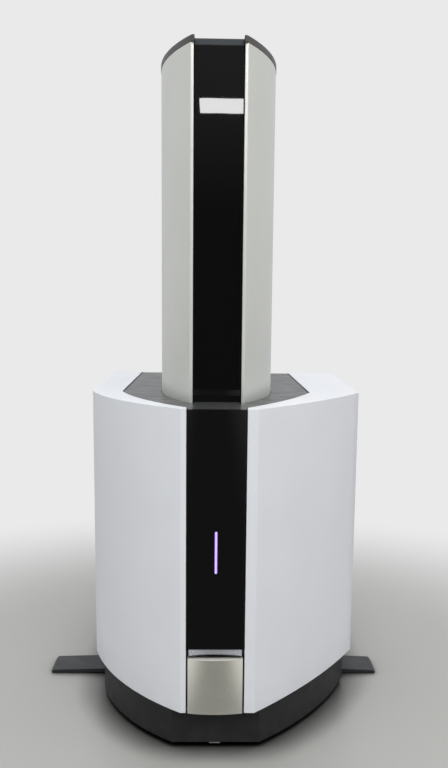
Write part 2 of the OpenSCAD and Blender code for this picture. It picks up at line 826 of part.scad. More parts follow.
// Valve body of two ported plates with bars between them, and the lift cylinder on top
module gate_valve() {
    seal = 0.1;
    slot_y0 = blade_y - fit;
    slot_y1 = blade_y + blade_t + fit;
    slot_half = port_w / 2 + 6 + fit;
    slot_z0 = port_z - blade_h / 2 - fit;
    slot_z1 = port_z + blade_h / 2 + gate_lift + 2;
    bore_top = gate_top + 10 + gate_lift + 4;
    stem_y = blade_y + blade_t / 2;
    color(alloy) placed() difference() {
        union() {
            block([-gate_half, gate_front, gate_z0], [gate_half, slot_y0, gate_top]);
            block([-gate_half, slot_y1, gate_z0], [gate_half, chamber_front, gate_top]);
            both_sides() block([slot_half, slot_y0 + seal, gate_z0], [gate_half, slot_y1 - seal, gate_top]);
            block([-slot_half + seal, slot_y0 + seal, gate_z0], [slot_half - seal, slot_y1 - seal, slot_z0]);
            block([-slot_half + seal, slot_y0 + seal, slot_z1], [slot_half - seal, slot_y1 - seal, gate_top]);
            translate([0, stem_y, gate_top + seal]) cylinder(r = 12, h = bore_top + 4 - gate_top);
            block([-18, stem_y - 13, gate_top + seal], [18, stem_y + 13, gate_top + 4]);
        }
        block([-port_w / 2, gate_front - 1, port_z - port_h / 2], [port_w / 2, chamber_front + 1, port_z + port_h / 2]);
        translate([0, stem_y, port_z]) cylinder(r = stem_r + fit, h = bore_top - port_z);
    }
}

module gate_blade() {
    color(steel) placed() {
        block([-port_w / 2 - 6, blade_y, port_z - blade_h / 2], [port_w / 2 + 6, blade_y + blade_t, port_z + blade_h / 2]);
        translate([0, blade_y + blade_t / 2, port_z + blade_h / 2 - 1]) cylinder(r = stem_r, h = gate_top + 10 - port_z - blade_h / 2);
    }
}

// ---- Sample stage ----

stage_floor = cavity_z;
rail_h = 5;
rail_w = 8;
y_rail_x = 44;
x_rail_y = 26;
base_t = 4;
y_rail_top = stage_floor + base_t + rail_h;
y_plate_z = y_rail_top + fit;
y_plate_t = 4;
x_rail_top = y_plate_z + y_plate_t + rail_h;
x_plate_z = x_rail_top + fit;
x_plate_t = 4;
slide_z = x_plate_z + x_plate_t - slide_t + 0.4;
carriage_half_y = slide_len / 2 + 10;

module stage_base() {
    y0 = chamber_front + chamber_t + 2;
    y1 = chamber_back - chamber_t - 2;
    color(alloy) placed() difference() {
        union() {
            block([-60, y0, stage_floor], [60, y1, stage_floor + base_t]);
            both_sides() block([y_rail_x - rail_w / 2, y0, stage_floor], [y_rail_x + rail_w / 2, y1, y_rail_top]);
            // End bearings of the screw
            for (y = [y0, y1 - 10]) block([-12, y, stage_floor], [12, y + 10, stage_floor + base_t + 4.6]);
        }
        for (x = [-28, 28], i = [0:3]) translate([x, y0 + 24 + i * (y1 - y0 - 48) / 3, stage_floor - 1]) cylinder(r = 3, h = base_t + 2);
    }
}

module y_carriage() {
    color(zinc) placed() translate([0, tower_mid, 0]) {
        block([-62, -carriage_half_y, y_plate_z], [62, carriage_half_y, y_plate_z + y_plate_t]);
        // Runners over the fixed rails
        both_sides() for (y = [-carriage_half_y, carriage_half_y - 24]) difference() {
            block([y_rail_x - 11, y, y_plate_z - 4], [y_rail_x + 11, y + 24, y_plate_z + 1]);
            block([y_rail_x - rail_w / 2 - fit, y - 1, y_plate_z - 5], [y_rail_x + rail_w / 2 + fit, y + 25, y_plate_z]);
        }
        // Cross rails
        for (y = [-x_rail_y, x_rail_y])
            block([-62, y - rail_w / 2, y_plate_z], [62, y + rail_w / 2, x_rail_top]);
    }
}

module x_carriage() {
    half = slide_w / 2 + 7;
    color(alloy) placed() translate([0, tower_mid, 0]) difference() {
        union() {
            block([-half, -carriage_half_y, x_plate_z], [half, carriage_half_y, x_plate_z + x_plate_t]);
            for (y = [-x_rail_y, x_rail_y])
                block([-half, y - 9, x_plate_z - 4], [half, y + 9, x_plate_z + 1]);
        }
        for (y = [-x_rail_y, x_rail_y])
            block([-half - 1, y - rail_w / 2 - fit, x_plate_z - 5], [half + 1, y + rail_w / 2 + fit, x_plate_z]);
        block([-slide_w / 2 - 0.2, -slide_len / 2 - 0.2, slide_z],
            [slide_w / 2 + 0.2, slide_len / 2 + 0.2, x_plate_z + 20]);
    }
}

module target_slide() {
    rows = 12;
    columns = 4;
    pitch = 5.6;
    color(steel) placed() translate([0, tower_mid, slide_z]) difference() {
        block([-slide_w / 2, -slide_len / 2, 0], [slide_w / 2, slide_len / 2, slide_t]);
        for (i = [0:columns - 1], j = [0:rows - 1])
            translate([(i - (columns - 1) / 2) * pitch, (j - (rows - 1) / 2) * pitch, slide_t - 0.3]) cylinder(r = 1.4, h = 1, $fn = 24);
    }
}

// ---- Turbo pump ----

pump_flange = 14;
pump_y = chamber_back;
rotor_y = pump_y + 14;
blade_rows = [0, 22, 44];
module turbo_pump() {
    y1 = pump_y + pump_flange + pump_len;
    color(steel) placed() difference() {
        union() {
            bar_y(0, pump_z, flange_r, pump_y, pump_y + pump_flange);
            bar_y(0, pump_z, pump_r, pump_y + 1, y1);
            for (i = [0:3]) bar_y(0, pump_z, pump_r + 4, pump_y + 34 + i * 14, pump_y + 40 + i * 14);
            // Outlet for the backing line
            bar_x(outlet_y, pump_z, outlet_r, 20, outlet_x);
            bar_x(outlet_y, pump_z, port_flange_r, outlet_x - 6, outlet_x);
            // Pump controller on the back, and the foot on the chassis
            block([-45, y1 - 1, pump_z - 40], [45, y1 + 34, pump_z + 40]);
            block([-30, pump_y + 60, chassis_top], [30, y1 - 20, pump_z]);
        }
        bar_y(0, pump_z, pump_r - 5, pump_y - 1, rotor_y + 66);
        bar_y(0, pump_z, 16 + fit, rotor_y, y1 - 20);
        bar_x(outlet_y, pump_z, pipe_r - pipe_wall, 30, outlet_x + 1);
        for (i = [0:7]) rotate_about_pump(22.5 + i * 45) bar_y((flange_r + pump_r) / 2 + 1, 0, 3.4, pump_y - 1, pump_y + pump_flange + 1);
    }
}

module rotate_about_pump(angle) { translate([0, 0, pump_z]) rotate([0, angle, 0]) children(); }

module turbo_rotor() {
    hub = 24;
    tip = pump_r - 6.5;
    blade_t = 1.6;
    color(alloy) placed() {
        bar_y(0, pump_z, hub, rotor_y + 2, rotor_y + 62);
        translate([0, rotor_y + 2, pump_z]) rotate([90, 0, 0]) cylinder(r1 = hub, r2 = 8, h = 12);
        bar_y(0, pump_z, 16, rotor_y + 61, pump_y + pump_flange + pump_len - 22);
        for (row = blade_rows, i = [0:blade_count - 1]) rotate_about_pump(i * 360 / blade_count + row)
            translate([(hub + tip) / 2 - 1, rotor_y + 8 + row, 0]) rotate([row == 22 ? -40 : 40, 0, 0])
                cube([tip - hub + 2, 12, blade_t], center = true);
    }
}

pipe_r = 14;
pipe_wall = 1.5;
port_flange_r = 20;
outlet_r = pipe_r + 1;
outlet_x = pump_r + 16;
outlet_y = rotor_y + 60;
elbow_r = 30;
module backing_pipe() {
    x1 = outlet_x + elbow_r;
    y1 = outlet_y + elbow_r;
    color(steel) placed() difference() {
        union() {
            bar_x(outlet_y, pump_z, port_flange_r, outlet_x, outlet_x + 6);
            backing_run(pipe_r, y1, port_end);
            bar_y(x1, pump_z, port_flange_r, port_end - 3, port_end);
            translate([x1, port_end - 7, pump_z]) rotate([-90, 0, 0]) cylinder(r1 = pipe_r, r2 = port_flange_r, h = 4.01);
        }
        backing_run(pipe_r - pipe_wall, y1, port_end + 1);
        bar_x(outlet_y, pump_z, pipe_r - pipe_wall, outlet_x - 1, outlet_x + 1);
    }
}

// Elbow from the pump's side and the straight run to the back
module backing_run(r, y0, y1) {
    translate([outlet_x, y0, pump_z]) rotate([0, 0, -90]) rotate_extrude(angle = 90)
        translate([elbow_r, 0]) circle(r = r);
    bar_y(outlet_x + elbow_r, pump_z, r, y0, y1);
}

// ---- Laser and camera ----

laser_w = 36;
laser_h = 48;
laser_len = 120;
module laser_head() {
    x0 = -chamber_half + 12;
    x1 = x0 + laser_w;
    y0 = chamber_front + 34;
    fins = 7;
    color(charcoal) placed() difference() {
        union() {
            block([x0, y0, tube_z], [x1, y0 + laser_len, tube_z + laser_h]);
            bar_y((x0 + x1) / 2, tube_z + laser_h / 2, 9, y0 - 14, y0 + 1);
        }
        for (i = [0:fins - 1])
            block([x0 + 5, y0 + 18 + i * 13, tube_z + laser_h - 9], [x1 - 5, y0 + 24 + i * 13, tube_z + laser_h + 1]);
    }
}

mirror_y = chamber_front + 14;
mirror_z = tube_z + (window_y - mirror_y) / tan(window_tilt);
module mirror_mount() {
    color(alloy) placed() difference() {
        union() {
            block([-54, mirror_y - 10, tube_z], [-30, mirror_y + 14, mirror_z + 22]);
            block([-54, mirror_y - 10, mirror_z - 22], [24, mirror_y + 10, mirror_z + 22]);
        }
        translate([0, mirror_y, mirror_z]) rotate([window_tilt / 2 - 90, 0, 0]) {
            cylinder(r = 13, h = 60);
            translate([0, 0, -60]) cylinder(r = 9, h = 120);
        }
    }
}

camera_x = [62];
camera_y = 110;
module sample_camera() {
    color(charcoal) placed() translate([camera_x[0], camera_y, tube_z]) {
        cylinder(r = 14, h = 6);
        cylinder(r = 11, h = 60);
        translate([-16, -16, 58]) cube([32, 32, 30]);
    }
}

// ---- Electronics ----

bay_front = chamber_back - 110;
bay_back = body_back - 44;
module hv_supply() {
    x = -plinth_left + 7;
    y = bay_front + 10;
    top = chassis_top + 145;
    color(zinc) placed() difference() {
        block([x, y, chassis_top], [x + 66, y + 180, top]);
        for (i = [0:11]) translate([x - 1, y + 18 + i * 12, top - 22]) cube([5, 4, 16]);
    }
}

module mains_supply() {
    x = board_x + 8;
    y = bay_back - 170;
    top = chassis_top + 70;
    color(zinc) placed() difference() {
        block([x, y, chassis_top], [plinth_right - 10, bay_back, top]);
        for (i = [0:9], j = [0:3]) translate([x + 14 + i * 6.6, y + 30 + j * 30, top - 6]) cylinder(r = 2.2, h = 10, $fn = 24);
    }
}

board_x = deck_half - 32;
module board_panel() {
    color(alloy) placed() {
        block([board_x - 2, bay_front, chassis_top], [board_x, bay_back, body_h - 98]);
        block([board_x - 20, bay_front, chassis_top], [board_x, bay_back, chassis_top + 2]);
    }
}

// A circuit board on four stand-offs, between two corners given as [y, z]
module circuit_board(a, b) {
    gap = 8;
    for (y = [a[0] + 8, b[0] - 8], z = [a[1] + 8, b[1] - 8]) bar_x(y, z, 3, board_x, board_x + gap);
    block([board_x + gap, a[0], a[1]], [board_x + gap + 1.6, b[0], b[1]]);
    for (i = [0:2], j = [0:1])
        translate([board_x + gap + 1.6, a[0] + 20 + i * (b[0] - a[0] - 40) / 3, a[1] + 30 + j * 60]) cube([3, 26, 30]);
    block([board_x + gap + 1.6, a[0] + 12, b[1] - 14], [board_x + gap + 12, b[0] - 12, b[1] - 2]);
}

module digitiser_board() {
    color(board_green) placed() circuit_board([bay_front + 10, 250], [bay_front + 160, 410]);
}

module control_board() {
    color(board_green) placed() circuit_board([bay_back - 165, 180], [bay_back - 8, 380]);
}

// ---- Rear panel ----

inlet_at = [-150, 130];
switch_at = [-104, 130];
ports_at = [-44, 104];

module rear_panel() {
    x0 = -left_back_x + cover_t + 0.6;
    x1 = right_back_x - cover_t - 0.6;
    color(zinc) placed() difference() {
        union() {
            block([x0, rear_y, chassis_top], [x1, rear_y + rear_t, rail_top - 0.2]);
            block([x0, rear_y - panel_foot, chassis_top], [x1, rear_y, chassis_top + 2]);
        }
        for (side = [-1, 1]) {
            bar_y(side * fan_x, fan_z, fan_half - 2, rear_y - 1, rear_y + rear_t + 1);
            for (dx = [-1, 1], dz = [-1, 1])
                bar_y(side * fan_x + dx * (fan_half - 4.5), fan_z + dz * (fan_half - 4.5), 2.2, rear_y - 1, rear_y + rear_t + 1);
        }
        bar_y(outlet_x + elbow_r, pump_z, outlet_r + 2, rear_y - 1, rear_y + rear_t + 1);
        block([inlet_at[0] - 14.2, rear_y - 1, inlet_at[1] - 24.2], [inlet_at[0] + 14.2, rear_y + 5, inlet_at[1] + 24.2]);
        block([switch_at[0] - 11.2, rear_y - 1, switch_at[1] - 15.2], [switch_at[0] + 11.2, rear_y + 5, switch_at[1] + 15.2]);
        block([ports_at[0] - 40.2, rear_y - 1, ports_at[1] - 12.2], [ports_at[0] + 40.2, rear_y + 5, ports_at[1] + 12.2]);
        for (i = [0:13], x = [-150, 60])
            block([x, rear_y - 1, 220 + i * 8], [x + 90, rear_y + 5, 223.4 + i * 8]);
    }
}

module one_fan_frame() {
    y0 = rear_y - fan_t;
    difference() {
        block([-fan_half, y0, fan_z - fan_half], [fan_half, rear_y, fan_z + fan_half]);
        bar_y(0, fan_z, fan_half - 2, y0 - 1, rear_y + 1);
        for (dx = [-1, 1], dz = [-1, 1])
            bar_y(dx * (fan_half - 4.5), fan_z + dz * (fan_half - 4.5), 2.2, y0 - 1, rear_y + 1);
    }
    bar_y(0, fan_z, 17, y0, y0 + 3);
    for (a = [0, 90]) translate([0, 0, fan_z]) rotate([0, a + 45, 0])
        block([-fan_half + 1, y0, -2], [fan_half - 1, y0 + 2.5, 2]);
}

module fan_frames() {
    color(charcoal) placed() for (side = [-1, 1]) translate([side * fan_x, 0, 0]) one_fan_frame();
}

module fan_rotor(side) {
    blades = 7;
    y0 = rear_y - fan_t + 3 + fit;
    tip = fan_half - 4;
    hub_r = 17;
    translate([side * fan_x, 0, 0]) {
        bar_y(0, fan_z, hub_r, y0, rear_y - 3);
        for (i = [0:blades - 1]) translate([0, 0, fan_z]) rotate([0, i * 360 / blades, 0])
            translate([(hub_r + tip) / 2 - 1, (y0 + rear_y - 3) / 2, 0]) rotate([38, 0, 0])
                cube([tip - hub_r + 2, 17, 1.6], center = true);
    }
}
module fan_rotor_left() { color(rubber_black) placed() fan_rotor(-1); }
module fan_rotor_right() { color(rubber_black) placed() fan_rotor(1); }

module fan_guards() {
    // Pressed rings on a cross that reaches the fan screws
    wire = 1.8;
    reach = sqrt(2) * (fan_half - 4.5);
    color(steel) placed() for (side = [-1, 1])
        translate([side * fan_x, rear_y + rear_t + wire, fan_z]) rotate([90, 0, 0]) linear_extrude(wire) {
            for (r = [10:9:fan_half - 2]) difference() {
                circle(r = r + wire / 2);
                circle(r = r - wire / 2);
            }
            difference() {
                for (a = [45, 135]) rotate(a) {
                    square([2 * reach, 2 * wire], center = true);
                    for (end = [-1, 1]) translate([end * reach, 0]) circle(r = 4.5);
                }
                circle(r = 10);
                for (a = [45:90:315]) rotate(a) translate([reach, 0]) circle(r = 2.2);
            }
        }
}

switch_pivot = rear_y + rear_t - 2;
module mains_inlet() {
    x = inlet_at[0];
    z = inlet_at[1];
    y = rear_y + rear_t;
    color(rubber_black) placed() {
        difference() {
            union() {
                block([x - 14, y - 26, z - 24], [x + 14, y, z + 24]);
                block([switch_at[0] - 11, y - 22, z - 15], [switch_at[0] + 11, y, z + 15]);
                block([x - 17, y, z - 30], [switch_at[0] + 15, y + 3, z + 30]);
            }
            difference() {
                block([x - 9, y - 16, z - 13], [x + 9, y + 4, z + 13]);
                for (p = [[0, -5], [-5, 4], [5, 4]])
                    block([x + p[0] - 1, y - 17, z + p[1] - 2.5], [x + p[0] + 1, y - 1, z + p[1] + 2.5]);
            }
            block([switch_at[0] - 8.6, y - 12, z - 12.6], [switch_at[0] + 8.6, y + 5, z + 12.6]);
        }
        // Small round ears that the rocker turns on
        for (side = [-1, 1]) translate([switch_at[0] + side * 8.2, switch_pivot, switch_at[1]])
            rotate([0, 90, 0]) cylinder(r = 1.5, h = 1.6, center = true);
    }
}

switch_throw = 16;
module power_switch() {
    color(rubber_black) placed() translate([switch_at[0], switch_pivot, switch_at[1]])
        rotate([switch_throw / 2, 0, 0]) difference() {
            // Two halves that meet at a shallow angle
            union() {
                rotate([6, 0, 0]) block([-8, -4, 0], [8, 4.4, 11.4]);
                rotate([-6, 0, 0]) block([-8, -4, -11.4], [8, 4.4, 0]);
                rotate([0, 90, 0]) cylinder(r = 4, h = 16, center = true);
            }
            rotate([0, 90, 0]) cylinder(r = 1.7, h = 40, center = true);
        }
}

module data_ports() {
    x = ports_at[0];
    z = ports_at[1];
    y = rear_y + rear_t;
    color(steel) placed() difference() {
        block([x - 40, y - 14, z - 12], [x + 40, y + 1, z + 12]);
        for (i = [0:1]) block([x - 34 + i * 18, y - 10, z - 6], [x - 21 + i * 18, y + 2, z - 1]);
        for (i = [0:1]) block([x + 4 + i * 18, y - 10, z - 7], [x + 18 + i * 18, y + 2, z + 6]);
    }
}

module rear_screws() {
    y = rear_y + rear_t;
    color(steel) placed() for (x = [-left_back_x + 14, 10, right_back_x - 14], z = [96, 300, rail_top - 16])
        translate([x, y, z]) rotate([-90, 0, 0]) difference() {
            cylinder(r = 4, h = 2.4);
            translate([0, 0, 1]) cylinder(r = 1.6, h = 3, $fn = 6);
        }
}

left_cover();
right_cover();
deck();
front_fascia();
light_guide();
light_board();
sample_door();
door_pin();
loading_frame();
door_catches();
finger_scoop();
tower_left_panel();
tower_right_panel();
tower_front_strip();
tower_rear_cover();
tower_brackets();
tower_base();
tower_cap();
base_plinth();
chassis_plate();
rubber_feet();
stabiliser_left();
stabiliser_right();
stabiliser_screws();
frame();
chamber_supports();
vacuum_chamber();
chamber_lid();
laser_window();
lid_bolts();
flight_tube();
detector();
insulator_posts();
electrodes();
gate_valve();
gate_blade();
stage_base();
y_carriage();
x_carriage();
target_slide();
turbo_pump();
turbo_rotor();
backing_pipe();
laser_head();
mirror_mount();
sample_camera();
hv_supply();
mains_supply();
board_panel();
digitiser_board();
control_board();
rear_panel();
fan_frames();
fan_rotor_left();
fan_rotor_right();
fan_guards();
mains_inlet();
power_switch();
data_ports();
rear_screws();
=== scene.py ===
import json
import math
import bpy
import bmesh
from mathutils import Matrix, Vector

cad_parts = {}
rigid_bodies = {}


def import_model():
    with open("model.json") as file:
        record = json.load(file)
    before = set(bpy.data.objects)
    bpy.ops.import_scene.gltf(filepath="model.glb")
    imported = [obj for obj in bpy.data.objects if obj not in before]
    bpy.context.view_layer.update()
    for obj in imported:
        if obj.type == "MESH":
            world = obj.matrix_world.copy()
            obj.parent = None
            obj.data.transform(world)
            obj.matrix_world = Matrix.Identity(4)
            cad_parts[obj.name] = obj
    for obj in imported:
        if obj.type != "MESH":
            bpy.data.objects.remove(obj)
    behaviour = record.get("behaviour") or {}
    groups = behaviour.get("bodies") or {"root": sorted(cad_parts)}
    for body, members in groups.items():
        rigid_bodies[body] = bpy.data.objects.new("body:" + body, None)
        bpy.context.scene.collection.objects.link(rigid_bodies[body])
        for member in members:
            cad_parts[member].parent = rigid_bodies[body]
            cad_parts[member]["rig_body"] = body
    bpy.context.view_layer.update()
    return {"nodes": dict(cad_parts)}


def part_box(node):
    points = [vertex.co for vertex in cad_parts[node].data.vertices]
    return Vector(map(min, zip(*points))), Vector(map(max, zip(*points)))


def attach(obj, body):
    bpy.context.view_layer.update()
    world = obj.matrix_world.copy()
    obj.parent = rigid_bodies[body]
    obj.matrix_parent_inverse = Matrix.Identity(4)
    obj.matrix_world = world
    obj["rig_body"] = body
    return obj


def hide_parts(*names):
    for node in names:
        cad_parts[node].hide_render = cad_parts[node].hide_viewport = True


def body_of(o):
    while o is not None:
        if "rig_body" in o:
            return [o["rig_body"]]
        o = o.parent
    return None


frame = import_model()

nodes = frame["nodes"]
mm = 0.001
sameSpot = 2e-6        # points of a mesh closer than this are one
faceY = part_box("front_fascia")[0][1]        # depth of the fascia's face


def tone(r, g, b):
    # a screen colour (0 to 255) as the linear colour that the shaders take
    channel = lambda c: c / 255 / 12.92 if c <= 10 else ((c / 255 + 0.055) / 1.055) ** 2.4
    return (channel(r), channel(g), channel(b), 1.0)


print("camera")
viewpoint = {"place": (-0.0085556, -1.6486148, 0.6773828), "yaw": -0.0230885, "pitch": -0.1634480,
             "roll": 0.0105810, "lens": 42.1361, "sensor": 36, "shiftX": -0.009607, "shiftY": 0.087902,
             "near": 0.05, "far": 60}


def makeCamera(s):
    yaw, pitch, roll = s["yaw"], s["pitch"], s["roll"]
    ahead = Vector((-math.sin(yaw) * math.cos(pitch), math.cos(yaw) * math.cos(pitch), math.sin(pitch)))
    right = Vector((math.cos(yaw), math.sin(yaw), 0))
    up = right.cross(ahead)
    across = right * math.cos(roll) + up * math.sin(roll)
    upward = up * math.cos(roll) - right * math.sin(roll)
    data = bpy.data.cameras.new("viewpoint")
    data.sensor_width = s["sensor"]
    data.lens, data.shift_x, data.shift_y = s["lens"], s["shiftX"], s["shiftY"]
    data.clip_start, data.clip_end = s["near"], s["far"]
    camera = bpy.data.objects.new("viewpoint", data)
    turn = Matrix((across, upward, -ahead)).transposed().to_4x4()
    camera.matrix_world = Matrix.Translation(s["place"]) @ turn
    bpy.context.scene.collection.objects.link(camera)
    bpy.context.scene.camera = camera


makeCamera(viewpoint)
scene = bpy.context.scene
scene.view_settings.view_transform = "Standard"


# node trees are built with these
def addLink(tree, a, b):
    tree.links.new(a, b)


def addNode(tree, kind, **values):
    node = tree.nodes.new(kind)
    for key, value in values.items():
        setattr(node, key, value)
    return node


def put(tree, node, settings):
    # a plain value or a link for each socket named here; None leaves a socket as it is
    for key, value in settings.items():
        if isinstance(value, (int, float, tuple)):
            node.inputs[key].default_value = value
        elif value is not None:
            addLink(tree, value, node.inputs[key])


def made(tree, kind, *links, output=0, settings=None, **values):
    # an output of a new node: links go to its sockets in order, settings to the sockets they name
    node = addNode(tree, kind, **values)
    put(tree, node, {**dict(enumerate(links)), **(settings or {})})
    return node.outputs[output]


def calc(tree, operation, *values):
    return made(tree, "ShaderNodeMath", settings=dict(enumerate(values)), operation=operation)


operations = {
    "add": "ADD", "less": "SUBTRACT", "times": "MULTIPLY", "over": "DIVIDE", "timesAdd": "MULTIPLY_ADD",
    "power": "POWER", "root": "SQRT", "sine": "SINE", "cosine": "COSINE", "floor": "FLOOR",
    "size": "ABSOLUTE", "most": "MAXIMUM", "above": "GREATER_THAN", "below": "LESS_THAN", "near": "COMPARE",
}


class sums:
    # arithmetic in one tree by short names: m = sums(tree), then m.add(a, b)
    def __init__(self, tree):
        for name, kind in operations.items():
            setattr(self, name, lambda *values, kind=kind: calc(tree, kind, *values))


def ranged(tree, value, low, high, toLow, toHigh, curve="LINEAR"):
    limits = {"Value": value, "From Min": low, "From Max": high, "To Min": toLow, "To Max": toHigh}
    return made(tree, "ShaderNodeMapRange", settings=limits, interpolation_type=curve)


def blended(tree, share, a, b):
    # by number, because the names of a Mix node's sockets repeat
    return made(tree, "ShaderNodeMix", output=2, settings={0: share, 6: a, 7: b}, data_type="RGBA")


def mixed(tree, share, a, b):
    return made(tree, "ShaderNodeMixShader", share, a, b)


def axes(tree, position):
    # x, y and z of a position
    node = addNode(tree, "ShaderNodeSeparateXYZ")
    addLink(tree, position, node.inputs[0])
    return node.outputs


def meshObject(name, mesh):
    obj = bpy.data.objects.new(name, mesh)
    scene.collection.objects.link(obj)
    return obj


print("floor, world and lamps")
backTone = tone(234, 234, 235)
floor = {"half": 6.0, "tone": tone(166, 165, 161), "rough": 0.32, "fadeFrom": 0.46, "fadeTo": 1.25,
         "shadeReach": 0.06, "shadePower": 2.6, "shadeTone": (0.004, 0.004, 0.004, 1),
         "aisleSides": (0.07, 0.22), "aisleLevels": (0.34, 0.95), "aisleStart": (-0.42, -0.52),
         "aisleTone": (0.98, 0.97, 0.94, 1)}
sky = {"strength": 0.66, "frontStrength": 0.36, "front": (-0.95, 0.35), "topStrength": 0.74,
       "top": (0.15, 0.9), "aisle": 0.2, "aisleTop": 0.75, "aisleRise": (0.08, 0.26),
       "aisleSides": (0.10, 0.42), "sideStrength": 0.80, "behind": (-0.3, 0.2),
       "softTint": (0.95, 0.965, 1.0, 1), "glossTint": (0.97, 0.98, 1.0, 1)}


def makeFloor(s):
    mesh = bpy.data.meshes.new("floor")
    h = s["half"]
    mesh.from_pydata([(-h, -h, 0), (h, -h, 0), (h, h, 0), (-h, h, 0)], [], [(0, 1, 2, 3)])
    obj = meshObject("floor", mesh)
    material = bpy.data.materials.new("floorFinish")
    material.use_nodes = True
    tree = material.node_tree
    m = sums(tree)
    shader = tree.nodes["Principled BSDF"]
    # the gap under the machine is in deep shade
    shade = made(tree, "ShaderNodeAmbientOcclusion", output="AO", samples=8,
                 settings={"Color": s["tone"], "Distance": s["shadeReach"]})
    colour = blended(tree, m.power(shade, s["shadePower"]), s["shadeTone"], s["tone"])
    put(tree, shader, {"Base Color": colour, "Roughness": s["rough"]})
    # away from the machine the floor melts into the pale background
    place = addNode(tree, "ShaderNodeTexCoord").outputs["Object"]
    far = made(tree, "ShaderNodeVectorMath", place, output="Value", operation="LENGTH")
    fade = ranged(tree, far, s["fadeFrom"], s["fadeTo"], 0, 1, "SMOOTHSTEP")
    paths = addNode(tree, "ShaderNodeLightPath").outputs
    pale = made(tree, "ShaderNodeEmission", settings={"Color": backTone})
    seen = mixed(tree, m.times(fade, paths["Is Camera Ray"]), shader.outputs[0], pale)
    # shiny fronts mirror a dark aisle on the floor ahead, with paler floor beside it
    side, depth = axes(tree, place)[:2]
    level = ranged(tree, m.size(side), *s["aisleSides"], *s["aisleLevels"], "SMOOTHSTEP")
    aisle = made(tree, "ShaderNodeEmission", settings={"Color": s["aisleTone"], "Strength": level})
    ahead = ranged(tree, depth, *s["aisleStart"], 0, 1)
    whole = mixed(tree, m.times(ahead, paths["Is Glossy Ray"]), seen, aisle)
    addLink(tree, whole, tree.nodes["Material Output"].inputs[0])
    mesh.materials.append(material)


def makeWorld(s):
    world = bpy.data.worlds.new("studio")
    scene.world = world
    world.use_nodes = True
    tree = world.node_tree
    tree.nodes.clear()
    m = sums(tree)
    side, ahead, up = axes(tree, addNode(tree, "ShaderNodeTexCoord").outputs["Generated"])
    # soft light: less from the open room in front, more from overhead
    depth = ranged(tree, ahead, *s["front"], s["frontStrength"], s["strength"], "SMOOTHSTEP")
    height = ranged(tree, up, *s["top"], 0.0, s["topStrength"], "SMOOTHSTEP")
    # what shiny parts mirror: a dark aisle straight ahead with brighter walls beside it
    aisle = ranged(tree, up, *s["aisleRise"], s["aisle"], s["aisleTop"], "SMOOTHSTEP")
    wall = ranged(tree, m.size(side), *s["aisleSides"], aisle, s["sideStrength"], "SMOOTHSTEP")
    behind = ranged(tree, ahead, *s["behind"], 0.0, s["strength"], "SMOOTHSTEP")
    mirrored = m.most(m.most(wall, behind), height)
    paths = addNode(tree, "ShaderNodeLightPath").outputs
    seen = m.most(paths["Is Camera Ray"], paths["Is Transmission Ray"])
    views = [made(tree, "ShaderNodeBackground", settings={"Color": colour, "Strength": strength})
             for strength, colour in ((m.most(depth, height), s["softTint"]), (mirrored, s["glossTint"]),
                                      (1.0, backTone))]
    result = mixed(tree, paths["Is Glossy Ray"], views[0], views[1])
    out = addNode(tree, "ShaderNodeOutputWorld")
    addLink(tree, mixed(tree, seen, result, views[2]), out.inputs[0])


makeFloor(floor)
makeWorld(sky)

lamps = {
    "overhead": {"place": (0.05, -0.1, 2.5), "aim": (0, 0, 0.4), "size": (2.2, 2.4), "power": 9.5,
                 "tint": (1, 0.99, 0.98)},
    "frontCeiling": {"place": (0.5, -2.7, 2.75), "aim": (0, 0, 0.5), "size": (2.7, 1.1), "power": 53},
    "ceilingPanel": {"place": (0.31, -8.22, 2.6), "aim": (0.31, -8.22, 0), "size": (0.9, 0.68),
                     "power": 88},
    "leftFill": {"place": (-1.7, -1.4, 1.9), "aim": (0, 0, 0.6), "size": (1.8, 2.2), "power": 13,
                 "tint": (0.98, 0.99, 1), "mirrored": False},
    "rightFill": {"place": (1.9, -1.1, 1.9), "aim": (0, 0, 0.6), "size": (1.8, 2.2), "power": 8.5,
                  "tint": (1, 0.99, 0.98)},
    "backFill": {"place": (-0.1, 3.4, 1.7), "aim": (0, 0, 0.4), "size": (3.0, 1.6), "power": 34,
                 "mirrored": False},
}
for name, s in lamps.items():
    data = bpy.data.lights.new(name, "AREA")
    data.shape = "RECTANGLE"
    data.size, data.size_y = s["size"]
    data.energy, data.color = s["power"], s.get("tint", (1, 1, 1))
    lamp = bpy.data.objects.new(name, data)
    away = Vector(s["place"]) - Vector(s["aim"])
    lamp.matrix_world = Matrix.Translation(s["place"]) @ away.to_track_quat("Z", "Y").to_matrix().to_4x4()
    lamp.visible_glossy = s.get("mirrored", True)
    scene.collection.objects.link(lamp)

print("finishes")


def startFinish(name, s):
    material = bpy.data.materials.new(name)
    material.use_nodes = True
    tree = material.node_tree
    shader = tree.nodes["Principled BSDF"]
    put(tree, shader, {"Base Color": s["colour"], "Roughness": s["rough"],
                       "Metallic": s.get("metallic", 0.0), **s.get("sockets", {})})
    return material, tree, shader, addNode(tree, "ShaderNodeTexCoord").outputs["Object"]


def stretched(tree, coords, stretch):
    return made(tree, "ShaderNodeMapping", coords, settings={"Scale": stretch})


def noise(tree, coords, size, detail, stretch=None):
    # size is the width of one patch, in millimetres
    place = stretched(tree, coords, stretch) if stretch else coords
    return made(tree, "ShaderNodeTexNoise", place, output="Fac",
                settings={"Scale": 1 / (size * mm), "Detail": detail, "Roughness": 0.5})


def cells(tree, coords, size, output="Distance"):
    return made(tree, "ShaderNodeTexVoronoi", coords, output=output, settings={"Scale": 1 / (size * mm)})


def bumped(tree, shader, height, depth, strength):
    settings = {"Strength": strength, "Distance": depth * mm, "Height": height}
    put(tree, shader, {"Normal": made(tree, "ShaderNodeBump", settings=settings)})


def shaded(colour, factor):
    return tuple(min(c * factor, 1.0) for c in colour[:3]) + (1.0,)


